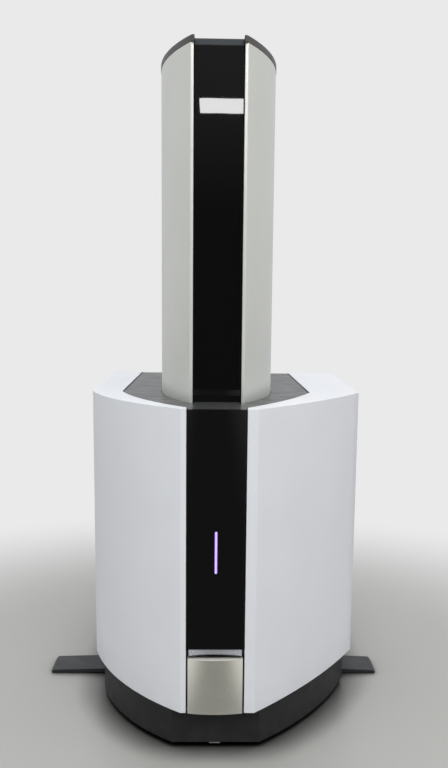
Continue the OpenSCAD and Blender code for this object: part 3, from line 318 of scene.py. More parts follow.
def varied(tree, share, colour, amount):
    # the same colour, a little darker and a little paler
    return blended(tree, share, shaded(colour, 1 - amount), shaded(colour, 1 + amount))


# in the settings of a finish, sizes and depths are in millimetres and places in metres;
# a band is the part of a noise, or of a cell, over which one look turns into the other
wideBand = (0.3, 0.7)
usualPaint = {"drift": 0.03, "driftSize": 90, "driftBand": (0.35, 0.65), "speckle": 0, "speckleSize": 0.8,
              "speckleBand": (0.42, 0.62), "dust": 0, "dustFrom": 0.06, "dustTo": 0.16, "dustPatch": 24,
              "dustBand": (0.4, 0.7), "dustLeast": 0.2, "dustTone": tone(150, 148, 143),
              "wipeSize": 35, "roughDrift": 0.05, "peelSize": 1.4, "peelDepth": 0.03, "peelStrength": 0.6}


def paint(name, settings):
    # paint and moulded plastic: a slow drift of tone, fine speckle, a pebbled skin and settled dust
    s = {**usualPaint, **settings}
    material, tree, shader, coords = startFinish(name, s)
    m = sums(tree)
    drift = noise(tree, coords, s["driftSize"], 4)
    colour = varied(tree, ranged(tree, drift, *s["driftBand"], 0, 1), s["colour"], s["drift"])
    if s["speckle"]:
        grains = noise(tree, coords, s["speckleSize"], 2)
        share = ranged(tree, grains, *s["speckleBand"], 0, s["speckle"])
        colour = blended(tree, share, colour, s["speckTone"])
    if s["dust"]:
        low = ranged(tree, axes(tree, coords)["Z"], s["dustFrom"], s["dustTo"], s["dust"], 0)
        patches = noise(tree, coords, s["dustPatch"], 5)
        patches = ranged(tree, patches, *s["dustBand"], s["dustLeast"], 1)
        colour = blended(tree, m.times(low, patches), colour, s["dustTone"])
    if "insetTone" in s:
        # the recessed lip between the corners is a cooler tone than the rim
        x, y, z = axes(tree, coords)
        middle = ranged(tree, m.size(x), *s["insetSides"], 1, 0)
        under = ranged(tree, z, *s["insetTop"], 1, 0)
        ahead = ranged(tree, y, *s["insetBack"], 1, 0)
        colour = blended(tree, m.times(m.times(middle, under), ahead), colour, s["insetTone"])
    wiped = noise(tree, coords, s["wipeSize"], 5)
    level = ranged(tree, wiped, *wideBand, s["rough"] - s["roughDrift"], s["rough"] + s["roughDrift"])
    put(tree, shader, {"Base Color": colour, "Roughness": level})
    bumped(tree, shader, noise(tree, coords, s["peelSize"], 2), s["peelDepth"], s["peelStrength"])
    return material


usualMetal = {"metallic": 1.0, "grain": (1, 1, 0.02), "lineSize": 0.5, "lineTone": 0.05, "lineRough": 0.05,
              "lineDepth": 0.01, "lineStrength": 0.5, "driftSize": 60, "roughDrift": 0.04, "stain": 0.1,
              "stainBand": (0.4, 0.75), "stainDark": 0.7, "blastedFrom": 0, "blastedFade": 0.0006,
              "blastedRough": 0.35, "blastedMetallic": 0.15}


def metal(name, settings):
    # metal with a grain: fine lines along one axis, a slow drift and a little staining
    s = {**usualMetal, **settings}
    material, tree, shader, coords = startFinish(name, s)
    m = sums(tree)
    lines = noise(tree, coords, s["lineSize"], 3, s["grain"])
    drift = noise(tree, coords, s["driftSize"], 4)
    colour = varied(tree, ranged(tree, lines, *wideBand, 0, 1), s["colour"], s["lineTone"])
    stainTone = s.get("stainTone", shaded(s["colour"], s["stainDark"]))
    colour = blended(tree, ranged(tree, drift, *s["stainBand"], 0, s["stain"]), colour, stainTone)
    slow = ranged(tree, drift, *wideBand, s["rough"] - s["roughDrift"], s["rough"] + s["roughDrift"])
    level = m.add(ranged(tree, lines, *wideBand, -s["lineRough"], s["lineRough"]), slow)
    if s["blastedFrom"]:
        # the upper edge is blasted matt instead of brushed
        height = axes(tree, coords)["Z"]
        share = ranged(tree, height, s["blastedFrom"], s["blastedFrom"] + s["blastedFade"], 0, 1)
        level = m.timesAdd(share, s["blastedRough"], level)
        put(tree, shader, {"Metallic": ranged(tree, share, 0, 1, s["metallic"], s["blastedMetallic"])})
    put(tree, shader, {"Base Color": colour, "Roughness": level})
    bumped(tree, shader, lines, s["lineDepth"], s["lineStrength"])
    return material


def spangled(name, s):
    # zinc-coated sheet with large flat crystals
    material, tree, shader, coords = startFinish(name, s)
    split = addNode(tree, "ShaderNodeSeparateColor")
    addLink(tree, cells(tree, coords, s["crystal"], "Color"), split.inputs[0])
    colour = blended(tree, split.outputs[0], shaded(s["colour"], s["dark"]), shaded(s["colour"], s["pale"]))
    level = ranged(tree, split.outputs[1], 0, 1, *s["roughness"])
    put(tree, shader, {"Base Color": colour, "Roughness": level})
    bumped(tree, shader, noise(tree, coords, s["pitSize"], 4), s["pitDepth"], s["pitStrength"])
    return material


def glossPanel(name, s):
    # polished black panel: faint wipe marks and a few specks of dust
    material, tree, shader, coords = startFinish(name, s)
    m = sums(tree)
    wipe = noise(tree, coords, s["wipeSize"], 5, (1, 1, 0.35))
    hair = noise(tree, coords, s["hairSize"], 2, (1, 1, 0.012))
    wiped = ranged(tree, wipe, *s["wipeBand"], s["rough"], s["rough"] + s["wipeRough"])
    streaks = ranged(tree, hair, *s["hairBand"], 0, s["hairRough"])
    specks = ranged(tree, cells(tree, coords, s["speckGap"]), *s["speckBand"], 1, 0)
    rare = ranged(tree, noise(tree, coords, s["rareSize"], 3), *s["rareBand"], 0, s["speck"])
    colour = blended(tree, m.times(specks, rare), s["colour"], s["speckTone"])
    put(tree, shader, {"Base Color": colour, "Roughness": m.add(wiped, streaks)})
    bumped(tree, shader, noise(tree, coords, s["waveSize"], 1), s["waveDepth"], s["waveStrength"])
    return material


def circuitFinish(name, s):
    # solder mask with copper tracks showing through, and dark parts standing on it
    material, tree, shader, coords = startFinish(name, s)
    turned = made(tree, "ShaderNodeMapping", coords, settings={"Rotation": s["turn"]})
    tracks = addNode(tree, "ShaderNodeTexBrick")
    put(tree, tracks, {"Scale": s["tracks"], "Mortar Size": s["gap"], "Color1": s["colour"],
                       "Color2": shaded(s["colour"], s["pale"]), "Mortar": s["track"], "Vector": turned})
    above = ranged(tree, axes(tree, coords)["X"], *s["face"], 0, 1)
    pads = ranged(tree, cells(tree, coords, s["padGap"]), *s["padBand"], s["padShare"], 0)
    colour = blended(tree, pads, tracks.outputs["Color"], s["pad"])
    put(tree, shader, {"Base Color": blended(tree, above, colour, s["parts"])})
    bumped(tree, shader, tracks.outputs["Fac"], s["trackDepth"], s["trackStrength"])
    return material


def lightFinish(name, s):
    # lit bar: bright lilac core that falls off to deep violet at its edges
    material, tree, shader, coords = startFinish(name, s)
    m = sums(tree)
    core = ranged(tree, m.size(axes(tree, coords)["X"]), s["inner"] * mm, s["half"] * mm, 1, 0)
    beads = ranged(tree, noise(tree, coords, s["beadGap"], 1, (0, 0, 1)), *wideBand, s["beadLeast"], 1)
    colour = blended(tree, m.times(core, beads), s["colour"], s["core"])
    put(tree, shader, {"Base Color": colour, "Emission Color": colour, "Emission Strength": s["strength"]})
    return material


def clearFinish(name, s):
    material, tree, shader, coords = startFinish(name, s)
    smears = noise(tree, coords, s["smearSize"], 4)
    put(tree, shader, {"Roughness": ranged(tree, smears, *s["smearBand"], *s["roughness"])})
    return material


finishes = {
    "white_cover": paint("whiteCover", {
        "colour": tone(226, 228, 232), "rough": 0.44, "drift": 0.012, "peelSize": 1.1, "peelDepth": 0.02,
        "peelStrength": 0.35, "dust": 0.10, "dustTo": 0.11}),
    "deck_grey": paint("deckPaint", {
        "colour": tone(54, 55, 55), "rough": 0.32, "drift": 0.05, "driftSize": 40, "speckle": 0.25,
        "speckleSize": 1.2, "speckTone": tone(78, 78, 77), "peelSize": 0.9, "peelDepth": 0.04}),
    "gloss_black": glossPanel("glossBlack", {
        "colour": tone(3, 3, 4), "rough": 0.008, "sockets": {"Specular IOR Level": 0.2}, "wipeSize": 26,
        "wipeRough": 0.006, "wipeBand": (0.35, 0.75), "hairSize": 0.6, "hairRough": 0.004,
        "hairBand": (0.55, 0.75), "speck": 0.25, "speckGap": 5.5, "speckBand": (0.035, 0.055),
        "rareSize": 30, "rareBand": (0.52, 0.6), "speckTone": tone(120, 120, 118), "waveSize": 60,
        "waveDepth": 0.05, "waveStrength": 0.4}),
    "light_bar": lightFinish("lightBar", {
        "colour": tone(84, 34, 176), "rough": 0.4, "core": tone(202, 176, 250), "inner": 0.4, "half": 2.2,
        "beadGap": 9, "beadLeast": 0.85, "strength": 0.92}),
    "circuit_board": circuitFinish("circuitBoard", {
        "colour": tone(20, 84, 50), "pale": 1.3, "rough": 0.35, "track": tone(60, 120, 74), "tracks": 120,
        "gap": 0.012, "trackDepth": 0.05, "trackStrength": 0.4, "turn": (0, math.pi / 2, 0),
        "pad": tone(196, 190, 160), "padGap": 6, "padBand": (0.14, 0.18), "padShare": 0.9,
        "face": (0.1377, 0.1379), "parts": tone(24, 24, 26)}),
    "door_silver": metal("doorSilver", {
        "colour": tone(214, 213, 204), "rough": 0.24, "grain": (1, 1, 0.03), "lineTone": 0.02,
        "lineRough": 0.015, "lineDepth": 0.004, "lineStrength": 0.3, "stain": 0.05, "blastedFrom": 0.1488}),
    "lip_silver": metal("lipSilver", {
        "colour": tone(196, 200, 206), "rough": 0.3, "metallic": 0.65, "grain": (0.03, 1, 1),
        "lineTone": 0.03, "stain": 0.05}),
    "satin_silver": metal("satinSilver", {
        "colour": tone(214, 215, 209), "rough": 0.43, "metallic": 0.85, "grain": (1, 1, 0.012),
        "lineSize": 0.9, "lineTone": 0.025, "lineRough": 0.03, "lineDepth": 0.006, "stain": 0.06,
        "driftSize": 140}),
    "charcoal": paint("charcoalPlastic", {
        "colour": tone(24, 24, 25), "rough": 0.5, "sockets": {"Specular IOR Level": 0.3}, "drift": 0.06,
        "peelSize": 0.8, "peelDepth": 0.05, "dust": 0.10, "dustFrom": 0.005, "dustTo": 0.05,
        "dustTone": tone(120, 117, 112)}),
    "cap_grey": paint("capPlastic", {
        "colour": tone(56, 53, 50), "rough": 0.45, "insetTone": tone(22, 31, 35),
        "insetSides": (0.0366, 0.0369), "insetTop": (1.054, 1.0545), "insetBack": (-0.25, -0.24),
        "drift": 0.04, "peelSize": 0.8, "peelDepth": 0.04}),
    "matte_black": paint("matteBlack", {
        "colour": tone(34, 34, 35), "rough": 0.62, "drift": 0.06, "peelSize": 0.9, "peelDepth": 0.05}),
    "foot_grey": paint("footPaint", {
        "colour": tone(34, 37, 38), "rough": 0.5, "sockets": {"Specular IOR Level": 0.4}, "drift": 0.05,
        "peelSize": 1.0, "peelDepth": 0.05, "speckle": 0.12, "speckTone": tone(54, 56, 56)}),
    "rubber": paint("rubber", {
        "colour": tone(30, 30, 30), "rough": 0.8, "drift": 0.1, "peelSize": 0.5, "peelDepth": 0.03,
        "dust": 0.25, "dustFrom": 0.0, "dustTo": 0.01, "dustTone": tone(100, 98, 95)}),
    "steel": metal("steelParts", {
        "colour": tone(176, 178, 182), "rough": 0.32, "grain": (1, 0.05, 1), "stain": 0.15}),
    "stainless": metal("stainlessTube", {
        "colour": tone(188, 189, 190), "rough": 0.26, "grain": (0.05, 0.05, 1), "lineSize": 0.4,
        "lineDepth": 0.003, "stain": 0.12, "stainTone": tone(150, 140, 125)}),
    "zinc_sheet": spangled("zincSheet", {
        "colour": tone(172, 177, 182), "rough": 0.38, "roughness": (0.28, 0.50), "metallic": 1.0,
        "crystal": 9, "dark": 0.86, "pale": 1.12, "pitSize": 3, "pitDepth": 0.02, "pitStrength": 0.3}),
    "raw_alloy": metal("milledAlloy", {
        "colour": tone(196, 199, 203), "rough": 0.34, "grain": (0.02, 1, 1), "lineSize": 1.2,
        "lineTone": 0.07, "lineDepth": 0.02}),
    "rear_grey": paint("rearPaint", {
        "colour": tone(186, 188, 190), "rough": 0.48, "drift": 0.03, "peelSize": 1.1, "peelDepth": 0.04}),
    "ceramic": paint("ceramicPosts", {
        "colour": tone(236, 232, 222), "rough": 0.22, "drift": 0.02, "peelSize": 2, "peelDepth": 0.01}),
    "window_glass": clearFinish("windowGlass", {
        "colour": tone(232, 240, 246), "rough": 0.03, "roughness": (0.02, 0.07), "smearSize": 12,
        "smearBand": (0.4, 0.7), "sockets": {"Transmission Weight": 1.0, "IOR": 1.46}}),
}

print("dress the solids")
darkened = {"tower_brackets": "matte_black"}        # seen through the gaps beside the black strip
missing = set()
for name, obj in nodes.items():
    for slot in obj.material_slots:
        key = slot.material.name.split(".")[0] if slot.material else ""
        key = darkened.get(name, key)
        if key in finishes:
            slot.material = finishes[key]
        else:
            missing.add((name, key))
print("without a finish:", sorted(missing))


def pieceName(node):
    words = node.split("_")
    return words[0] + "".join(w.capitalize() for w in words[1:])


def softened(mesh, sharp, flat=None):
    # merge loose triangles, join flat ones, and shade smooth except across sharp edges
    shape = bmesh.new()
    shape.from_mesh(mesh)
    bmesh.ops.remove_doubles(shape, verts=shape.verts, dist=sameSpot)
    if flat is not None:
        bmesh.ops.dissolve_limit(shape, angle_limit=math.radians(flat), use_dissolve_boundaries=False,
                                 verts=shape.verts, edges=shape.edges)
    for face in shape.faces:
        face.smooth = True
    for edge in shape.edges:
        edge.smooth = len(edge.link_faces) == 2 and edge.calc_face_angle(0) < math.radians(sharp)
    shape.to_mesh(mesh)
    shape.free()


def settled(obj):
    # what the modifiers make becomes the plain mesh
    plain = bpy.data.meshes.new_from_object(obj.evaluated_get(bpy.context.evaluated_depsgraph_get()))
    obj.modifiers.clear()
    obj.data = plain


def roundEdges(obj, radius, angle=40, segments=3):
    bevel = obj.modifiers.new("edges", "BEVEL")
    bevel.width, bevel.segments, bevel.limit_method = radius * mm, segments, "ANGLE"
    bevel.angle_limit, bevel.harden_normals = math.radians(angle), True
    bevel.use_clamp_overlap = True
    settled(obj)


def keep(obj, slot, *replaced, body="cabinet"):
    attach(obj, body)
    if replaced:
        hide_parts(*replaced)


print("round the edges of the outer parts")
edges = {
    "left_cover": 1.2, "right_cover": 1.2, "deck": 0.5, "front_fascia": 0.6, "sample_door": 1.5,
    "finger_scoop": 0.6, "tower_cap": 1.2, "tower_rear_cover": 0.5, "base_plinth": 1.4,
    "stabiliser_left": 0.6, "stabiliser_right": 0.6, "rear_panel": 0.3, "mains_inlet": 0.4,
    "fan_frames": 0.5, "loading_frame": 0.4, "tower_front_strip": 0.4, "data_ports": 0.2,
    "power_switch": 0.5, "light_guide": 0.3,
}
for node, radius in edges.items():
    source = nodes[node]
    mesh = source.data.copy()
    softened(mesh, sharp=30, flat=0.4)
    obj = meshObject(pieceName(node), mesh)
    roundEdges(obj, radius)
    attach(obj, body_of(source)[0])
    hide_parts(node)
# the far ceiling panel is there for the black strip to mirror, and lights nothing else
mirrors = bpy.data.collections.new("mirrors")
mirrors.objects.link(bpy.data.objects[pieceName("tower_front_strip")])
bpy.data.objects["ceilingPanel"].light_linking.receiver_collection = mirrors


# rules in geometry nodes: each takes a mesh in, named sizes, and gives plain geometry out
def newRule(name, sizes):
    tree = bpy.data.node_groups.new(name, "GeometryNodeTree")
    tree.interface.new_socket("Geometry", in_out="INPUT", socket_type="NodeSocketGeometry")
    tree.interface.new_socket("Geometry", in_out="OUTPUT", socket_type="NodeSocketGeometry")
    for label, value in sizes.items():
        kind = "NodeSocketInt" if isinstance(value, int) else "NodeSocketFloat"
        tree.interface.new_socket(label, in_out="INPUT", socket_type=kind).default_value = value
    tree.interface.new_socket("Finish", in_out="INPUT", socket_type="NodeSocketMaterial")
    return tree, addNode(tree, "NodeGroupInput").outputs, sums(tree)


def joined(tree, *parts):
    node = addNode(tree, "GeometryNodeJoinGeometry")
    for part in parts:
        addLink(tree, part, node.inputs[0])
    return node.outputs[0]


def realized(tree, geometry):
    return made(tree, "GeometryNodeRealizeInstances", geometry)


def endRule(tree, start, *parts):
    real = realized(tree, joined(tree, *parts))
    coat = made(tree, "GeometryNodeSetMaterial", real, settings={"Material": start["Finish"]})
    addLink(tree, coat, addNode(tree, "NodeGroupOutput").inputs[0])
    return tree


def vector(tree, x=0.0, y=0.0, z=0.0):
    return made(tree, "ShaderNodeCombineXYZ", settings={"X": x, "Y": y, "Z": z})


def placed(tree, geometry, position):
    return made(tree, "GeometryNodeSetPosition", geometry, settings={"Position": position})


def moved(tree, geometry, shift=None, turn=None, scale=None):
    return made(tree, "GeometryNodeTransform", geometry,
                settings={"Translation": shift, "Rotation": turn, "Scale": scale})


def scattered(tree, points, part, turn=None, scale=None):
    return made(tree, "GeometryNodeInstanceOnPoints", points,
                settings={"Instance": part, "Rotation": turn, "Scale": scale})


def asCurve(tree, mesh):
    return made(tree, "GeometryNodeMeshToCurve", mesh)


def circleCurve(tree, radius, steps):
    return made(tree, "GeometryNodeCurvePrimitiveCircle", settings={"Resolution": steps, "Radius": radius})


def swept(tree, curve, profile):
    return made(tree, "GeometryNodeCurveToMesh", curve, profile, settings={"Fill Caps": True})


def welded(tree, geometry, gap):
    return made(tree, "GeometryNodeMergeByDistance", geometry, settings={"Distance": gap})


def pointLine(tree, count):
    return made(tree, "GeometryNodeMeshLine", settings={"Count": count})


def unitSheet(tree, columns, rows):
    # a sheet of unit size, and where each of its points is along and across it
    grid = {"Size X": 1.0, "Size Y": 1.0, "Vertices X": columns, "Vertices Y": rows}
    spot = axes(tree, addNode(tree, "GeometryNodeInputPosition").outputs[0])
    return made(tree, "GeometryNodeMeshGrid", settings=grid), spot[0], spot[1]


def indexOf(tree):
    return addNode(tree, "GeometryNodeInputIndex").outputs[0]


def either(tree, test, yes, no):
    # yes where test is 1, no where it is 0
    m = sums(tree)
    return m.timesAdd(test, m.less(yes, no), no)


def flipped(tree, geometry):
    return made(tree, "GeometryNodeFlipFaces", geometry)


def skinned(tree, sheet, thickness, direction=None):
    # a sheet becomes a closed wall: its pushed copy, its rim and its own reversed faces.
    # A direction has to be a link, because an open socket stands for the faces' own directions
    pushed = made(tree, "GeometryNodeExtrudeMesh", sheet, mode="FACES",
                  settings={"Individual": False, "Offset Scale": thickness, "Offset": direction})
    return welded(tree, joined(tree, pushed, flipped(tree, sheet)), 1e-5)


def grow(name, tree, sizes, slot, mesh=None, sharp=30):
    obj = meshObject(name, mesh or bpy.data.meshes.new(name))
    modifier = obj.modifiers.new("rule", "NODES")
    modifier.node_group = tree
    for item in tree.interface.items_tree:
        if item.in_out == "INPUT" and item.name in sizes:
            modifier[item.identifier] = sizes[item.name]
        elif item.in_out == "INPUT" and item.name == "Finish":
            modifier[item.identifier] = finishes[slot]
    settled(obj)
    softened(obj.data, sharp)
    obj.data.name = name
    return obj


def turned(outline, sides=48):
    # outline of (radius, height) points, turned about Z
    shape = bmesh.new()
    angles = [2 * math.pi * i / sides for i in range(sides)]
    rings = []
    for radius, height in outline:
        if radius == 0:
            rings.append([shape.verts.new((0, 0, height * mm))] * sides)
        else:
            r, z = radius * mm, height * mm
            rings.append([shape.verts.new((r * math.cos(a), r * math.sin(a), z)) for a in angles])
    for low, high in zip(rings, rings[1:]):
        for i in range(sides):
            j = (i + 1) % sides
            corners = []
            for corner in (low[i], low[j], high[j], high[i]):
                if corner not in corners:
                    corners.append(corner)
            if len(corners) > 2:
                shape.faces.new(corners)
    bmesh.ops.recalc_face_normals(shape, faces=shape.faces)
    return shape


def asMesh(shape, name, matrix=None):
    if matrix is not None:
        bmesh.ops.transform(shape, matrix=matrix, verts=shape.verts)
    mesh = bpy.data.meshes.new(name)
    shape.to_mesh(mesh)
    shape.free()
    return mesh


print("tower panels")
panelLow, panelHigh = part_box("tower_right_panel")
arcRadius = 0.40230
tower = {"Centre X": 93.5 * mm - arcRadius, "Centre Y": faceY + 280 * mm, "Radius": arcRadius,
         "Wall": 3 * mm, "Front": panelLow[1] + 3.6 * mm, "Back": panelHigh[1],
         "Inner X": panelLow[0] + 0.8 * mm, "Fold": 1.4 * mm, "Fold Depth": 21.6 * mm, "Nose": 0.5 * mm,
         "Nose Lean": math.radians(-29.7), "Bottom": panelLow[2], "Height": panelHigh[2] - panelLow[2]}


def panelRule():
    # plan of a side panel: outer arc from back to front, flat nose with round corners,
    # folded edge, inner arc to the back
    tree, start, m = newRule("sidePanels", {"Arc Steps": 40, "Nose Steps": 12, **tower})
    index = indexOf(tree)
    arcSteps, noseSteps, fold, wall = (start[key] for key in ("Arc Steps", "Nose Steps", "Fold", "Wall"))
    centreX, centreY, radius, innerX = (start[key] for key in ("Centre X", "Centre Y", "Radius", "Inner X"))
    front, back, nose, noseLean = (start[key] for key in ("Front", "Back", "Nose", "Nose Lean"))
    count = m.add(m.times(arcSteps, 2), m.add(noseSteps, 2))
    toNose = m.add(arcSteps, noseSteps)
    toFold = m.add(toNose, 2)

    def arc(y, inset):
        reach = m.power(m.less(radius, inset), 2)
        depth = m.power(m.less(y, centreY), 2)
        return m.add(centreX, m.root(m.less(reach, depth)))

    noseY = m.add(front, nose)
    outerEnd = m.timesAdd(nose, m.sine(noseLean), noseY)
    outerY = m.timesAdd(m.over(index, m.less(arcSteps, 1)), m.less(outerEnd, back), back)
    noseT = m.over(m.less(m.add(index, 1), arcSteps), noseSteps)
    turn = m.timesAdd(noseT, m.less(-math.pi, noseLean), noseLean)
    outerNose = m.less(arc(outerEnd, 0.0), m.times(nose, m.cosine(noseLean)))
    noseX = either(tree, m.above(turn, -math.pi / 2), outerNose, m.add(innerX, nose))
    roundX = m.timesAdd(nose, m.cosine(turn), noseX)
    roundY = m.timesAdd(nose, m.sine(turn), noseY)
    foldX = m.timesAdd(m.above(index, m.add(toNose, 0.5)), fold, innerX)
    foldY = m.add(front, start["Fold Depth"])
    # the inner arc starts where it leaves the folded edge
    innerReach = m.power(m.less(radius, wall), 2)
    foldReach = m.power(m.less(m.add(innerX, fold), centreX), 2)
    innerStart = m.less(centreY, m.root(m.less(innerReach, foldReach)))
    innerT = m.over(m.less(index, toFold), m.less(arcSteps, 1))
    innerY = m.timesAdd(innerT, m.less(back, innerStart), innerStart)
    x, y = arc(innerY, wall), innerY
    for end, stretchX, stretchY in ((toFold, foldX, foldY), (toNose, roundX, roundY),
                                    (arcSteps, arc(outerY, 0.0), outerY)):
        before = m.below(index, m.less(end, 0.5))
        x, y = either(tree, before, stretchX, x), either(tree, before, stretchY, y)
    ring = made(tree, "GeometryNodeMeshCircle", settings={"Vertices": count})
    fill = made(tree, "GeometryNodeFillCurve", asCurve(tree, placed(tree, ring, vector(tree, x, y))))
    plan = moved(tree, fill, vector(tree, z=start["Bottom"]))
    right = skinned(tree, plan, start["Height"], vector(tree, z=1.0))
    return endRule(tree, start, right, flipped(tree, moved(tree, right, scale=(-1.0, 1.0, 1.0))))


panels = grow("towerPanels", panelRule(), {}, "satin_silver", sharp=25)
keep(panels, "satin_silver", "tower_left_panel", "tower_right_panel")

print("fans and pump rotor")


def bladeRule():
    # rows of twisted, cambered blades round the Y axis, joined to the hub that comes in
    tree, start, m = newRule("bladeWheel", {
        "Blades": 7, "Rows": 1, "Row Gap": 0.01, "Row Twist": 0.37, "Hub": 0.017, "Tip": 0.036,
        "Chord": 0.017, "Root Pitch": 0.9, "Tip Pitch": 0.5, "Camber": 0.002, "Thickness": 0.0014,
        "Centre X": 0.0, "Centre Y": 0.0, "Centre Z": 0.0})
    sheet, along, across = unitSheet(tree, 9, 6)
    out = m.add(across, 0.5)
    radius = m.timesAdd(out, m.less(start["Tip"], start["Hub"]), start["Hub"])
    pitch = m.timesAdd(out, m.less(start["Tip Pitch"], start["Root Pitch"]), start["Root Pitch"])
    reach = m.times(along, start["Chord"])
    bow = m.times(start["Camber"], m.less(1.0, m.times(m.power(along, 2), 4)))
    sine, cosine = m.sine(pitch), m.cosine(pitch)
    angle = m.over(m.less(m.times(reach, cosine), m.times(bow, sine)), radius)
    deep = m.add(m.times(reach, sine), m.times(bow, cosine))
    curved = vector(tree, m.times(radius, m.cosine(angle)), deep, m.times(radius, m.sine(angle)))
    blade = skinned(tree, placed(tree, sheet, curved), start["Thickness"])
    index = indexOf(tree)
    row = m.floor(m.over(m.add(index, 0.5), start["Blades"]))
    turn = m.times(m.timesAdd(row, start["Row Twist"], index), m.over(2 * math.pi, start["Blades"]))
    middle = m.times(m.less(start["Rows"], 1), 0.5)
    depth = m.timesAdd(m.less(row, middle), start["Row Gap"], start["Centre Y"])
    line = pointLine(tree, m.times(start["Blades"], start["Rows"]))
    points = placed(tree, line, vector(tree, start["Centre X"], depth, start["Centre Z"]))
    return endRule(tree, start, start["Geometry"], scattered(tree, points, blade, vector(tree, y=turn)))


bladeWheel = bladeRule()
fanHub = [(0, 0), (15.4, 0), (16.6, 0.5), (17, 1.4), (17, 18.6), (16.4, 19.4), (15.2, 19.7), (12.5, 19.7),
          (12, 19.4), (12, 18.9), (6, 18.9), (5.4, 19.1), (5.2, 19.5), (4.6, 19.7), (0, 19.7)]
rotorHub = [(0, -12), (3, -12), (3, -9), (8, -9.4), (16, -4.6), (24, 0), (24, 60), (16, 60), (16, 100),
            (0, 100)]
axisY = Matrix.Rotation(-math.pi / 2, 4, "X")        # Z of a turned part becomes Y


def wheel(name, node, body, hub, sizes, slot):
    low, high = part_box(node)
    centre = [(a + b) / 2 for a, b in zip(low, high)]
    base = Vector((centre[0], low[1] - hub[0][1] * mm, centre[2]))
    mesh = asMesh(turned(hub), name, Matrix.Translation(base) @ axisY)
    sizes = {**sizes, "Centre X": centre[0], "Centre Z": centre[2], "Centre Y": base[1] + sizes["Depth"]}
    keep(grow(name, bladeWheel, sizes, slot, mesh, sharp=40), slot, node, body=body)


fan = {"Blades": 7, "Rows": 1, "Hub": 0.0164, "Tip": 0.0358, "Chord": 0.021, "Root Pitch": 0.95,
       "Tip Pitch": 0.52, "Camber": 0.0024, "Thickness": 0.0013, "Depth": 0.0098}
wheel("leftFanRotor", "fan_rotor_left", "left_fan", fanHub, fan, "matte_black")
wheel("rightFanRotor", "fan_rotor_right", "right_fan", fanHub, fan, "matte_black")
pump = {"Blades": 16, "Rows": 3, "Row Gap": 0.022, "Hub": 0.0236, "Tip": 0.0553, "Chord": 0.014,
        "Root Pitch": 0.7, "Tip Pitch": 0.45, "Camber": 0.0004, "Thickness": 0.0016, "Depth": 0.030}
wheel("turboRotor", "turbo_rotor", "turbo_rotor", rotorHub, pump, "raw_alloy")

print("fan guards")


def guardRule():
    # wire rings and four arms that dip to eyelets on the fan screws, once for each fan
    tree, start, m = newRule("wireGuards", {
        "Rings": 4, "First Ring": 0.01, "Ring Gap": 0.0088, "Wire": 0.0009, "Eye Radius": 0.0502,
        "Eye Size": 0.0036, "Stand": 0.0026, "Drop": -0.75, "Spacing": 0.22, "Depth": 0.3, "Height": 0.4})
    profile = circleCurve(tree, start["Wire"], 8)
    index = indexOf(tree)
    size = m.timesAdd(index, start["Ring Gap"], start["First Ring"])
    centres = placed(tree, pointLine(tree, start["Rings"]), vector(tree))
    rounds = scattered(tree, centres, circleCurve(tree, 1.0, 56), scale=vector(tree, size, size, size))
    rings = realized(tree, rounds)
    # one arm: raised along the rings, then down to the panel and out to its eyelet
    lastRing = m.timesAdd(m.less(start["Rings"], 1), start["Ring Gap"], start["First Ring"])
    eyeEdge = m.less(start["Eye Radius"], start["Eye Size"])
    at = [m.near(index, float(i), 0.2) for i in range(4)]
    reach = m.times(at[0], start["First Ring"])
    for flag, spot in zip(at[1:], (lastRing, m.add(lastRing, start["Stand"]), eyeEdge)):
        reach = m.timesAdd(flag, spot, reach)
    low = m.times(start["Stand"], start["Drop"])
    bend = vector(tree, reach, 0.0, m.times(m.above(index, 1.5), low))
    arm = swept(tree, asCurve(tree, placed(tree, pointLine(tree, 4), bend)), profile)
    eye = swept(tree, circleCurve(tree, start["Eye Size"], 20), profile)
    limb = joined(tree, arm, moved(tree, eye, vector(tree, start["Eye Radius"], 0.0, low)))
    turn = vector(tree, z=m.timesAdd(index, math.pi / 2, math.pi / 4))
    limbs = scattered(tree, placed(tree, pointLine(tree, 4), vector(tree)), limb, turn)
    guard = joined(tree, swept(tree, rings, profile), limbs)
    stood = moved(tree, guard, turn=(-math.pi / 2, 0.0, 0.0))
    side = m.times(m.less(index, 0.5), start["Spacing"])
    place = vector(tree, side, m.add(start["Depth"], start["Stand"]), start["Height"])
    return endRule(tree, start, scattered(tree, placed(tree, pointLine(tree, 2), place), stood))


leftFan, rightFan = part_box("fan_rotor_left"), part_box("fan_rotor_right")
fanZ = (leftFan[0][2] + leftFan[1][2]) / 2
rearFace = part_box("rear_panel")[1][1]
guards = {"Depth": rearFace, "Height": fanZ, "Spacing": rightFan[0][0] - leftFan[0][0]}
keep(grow("fanGuards", guardRule(), guards, "steel", sharp=60), "steel", "fan_guards")

print("vents")


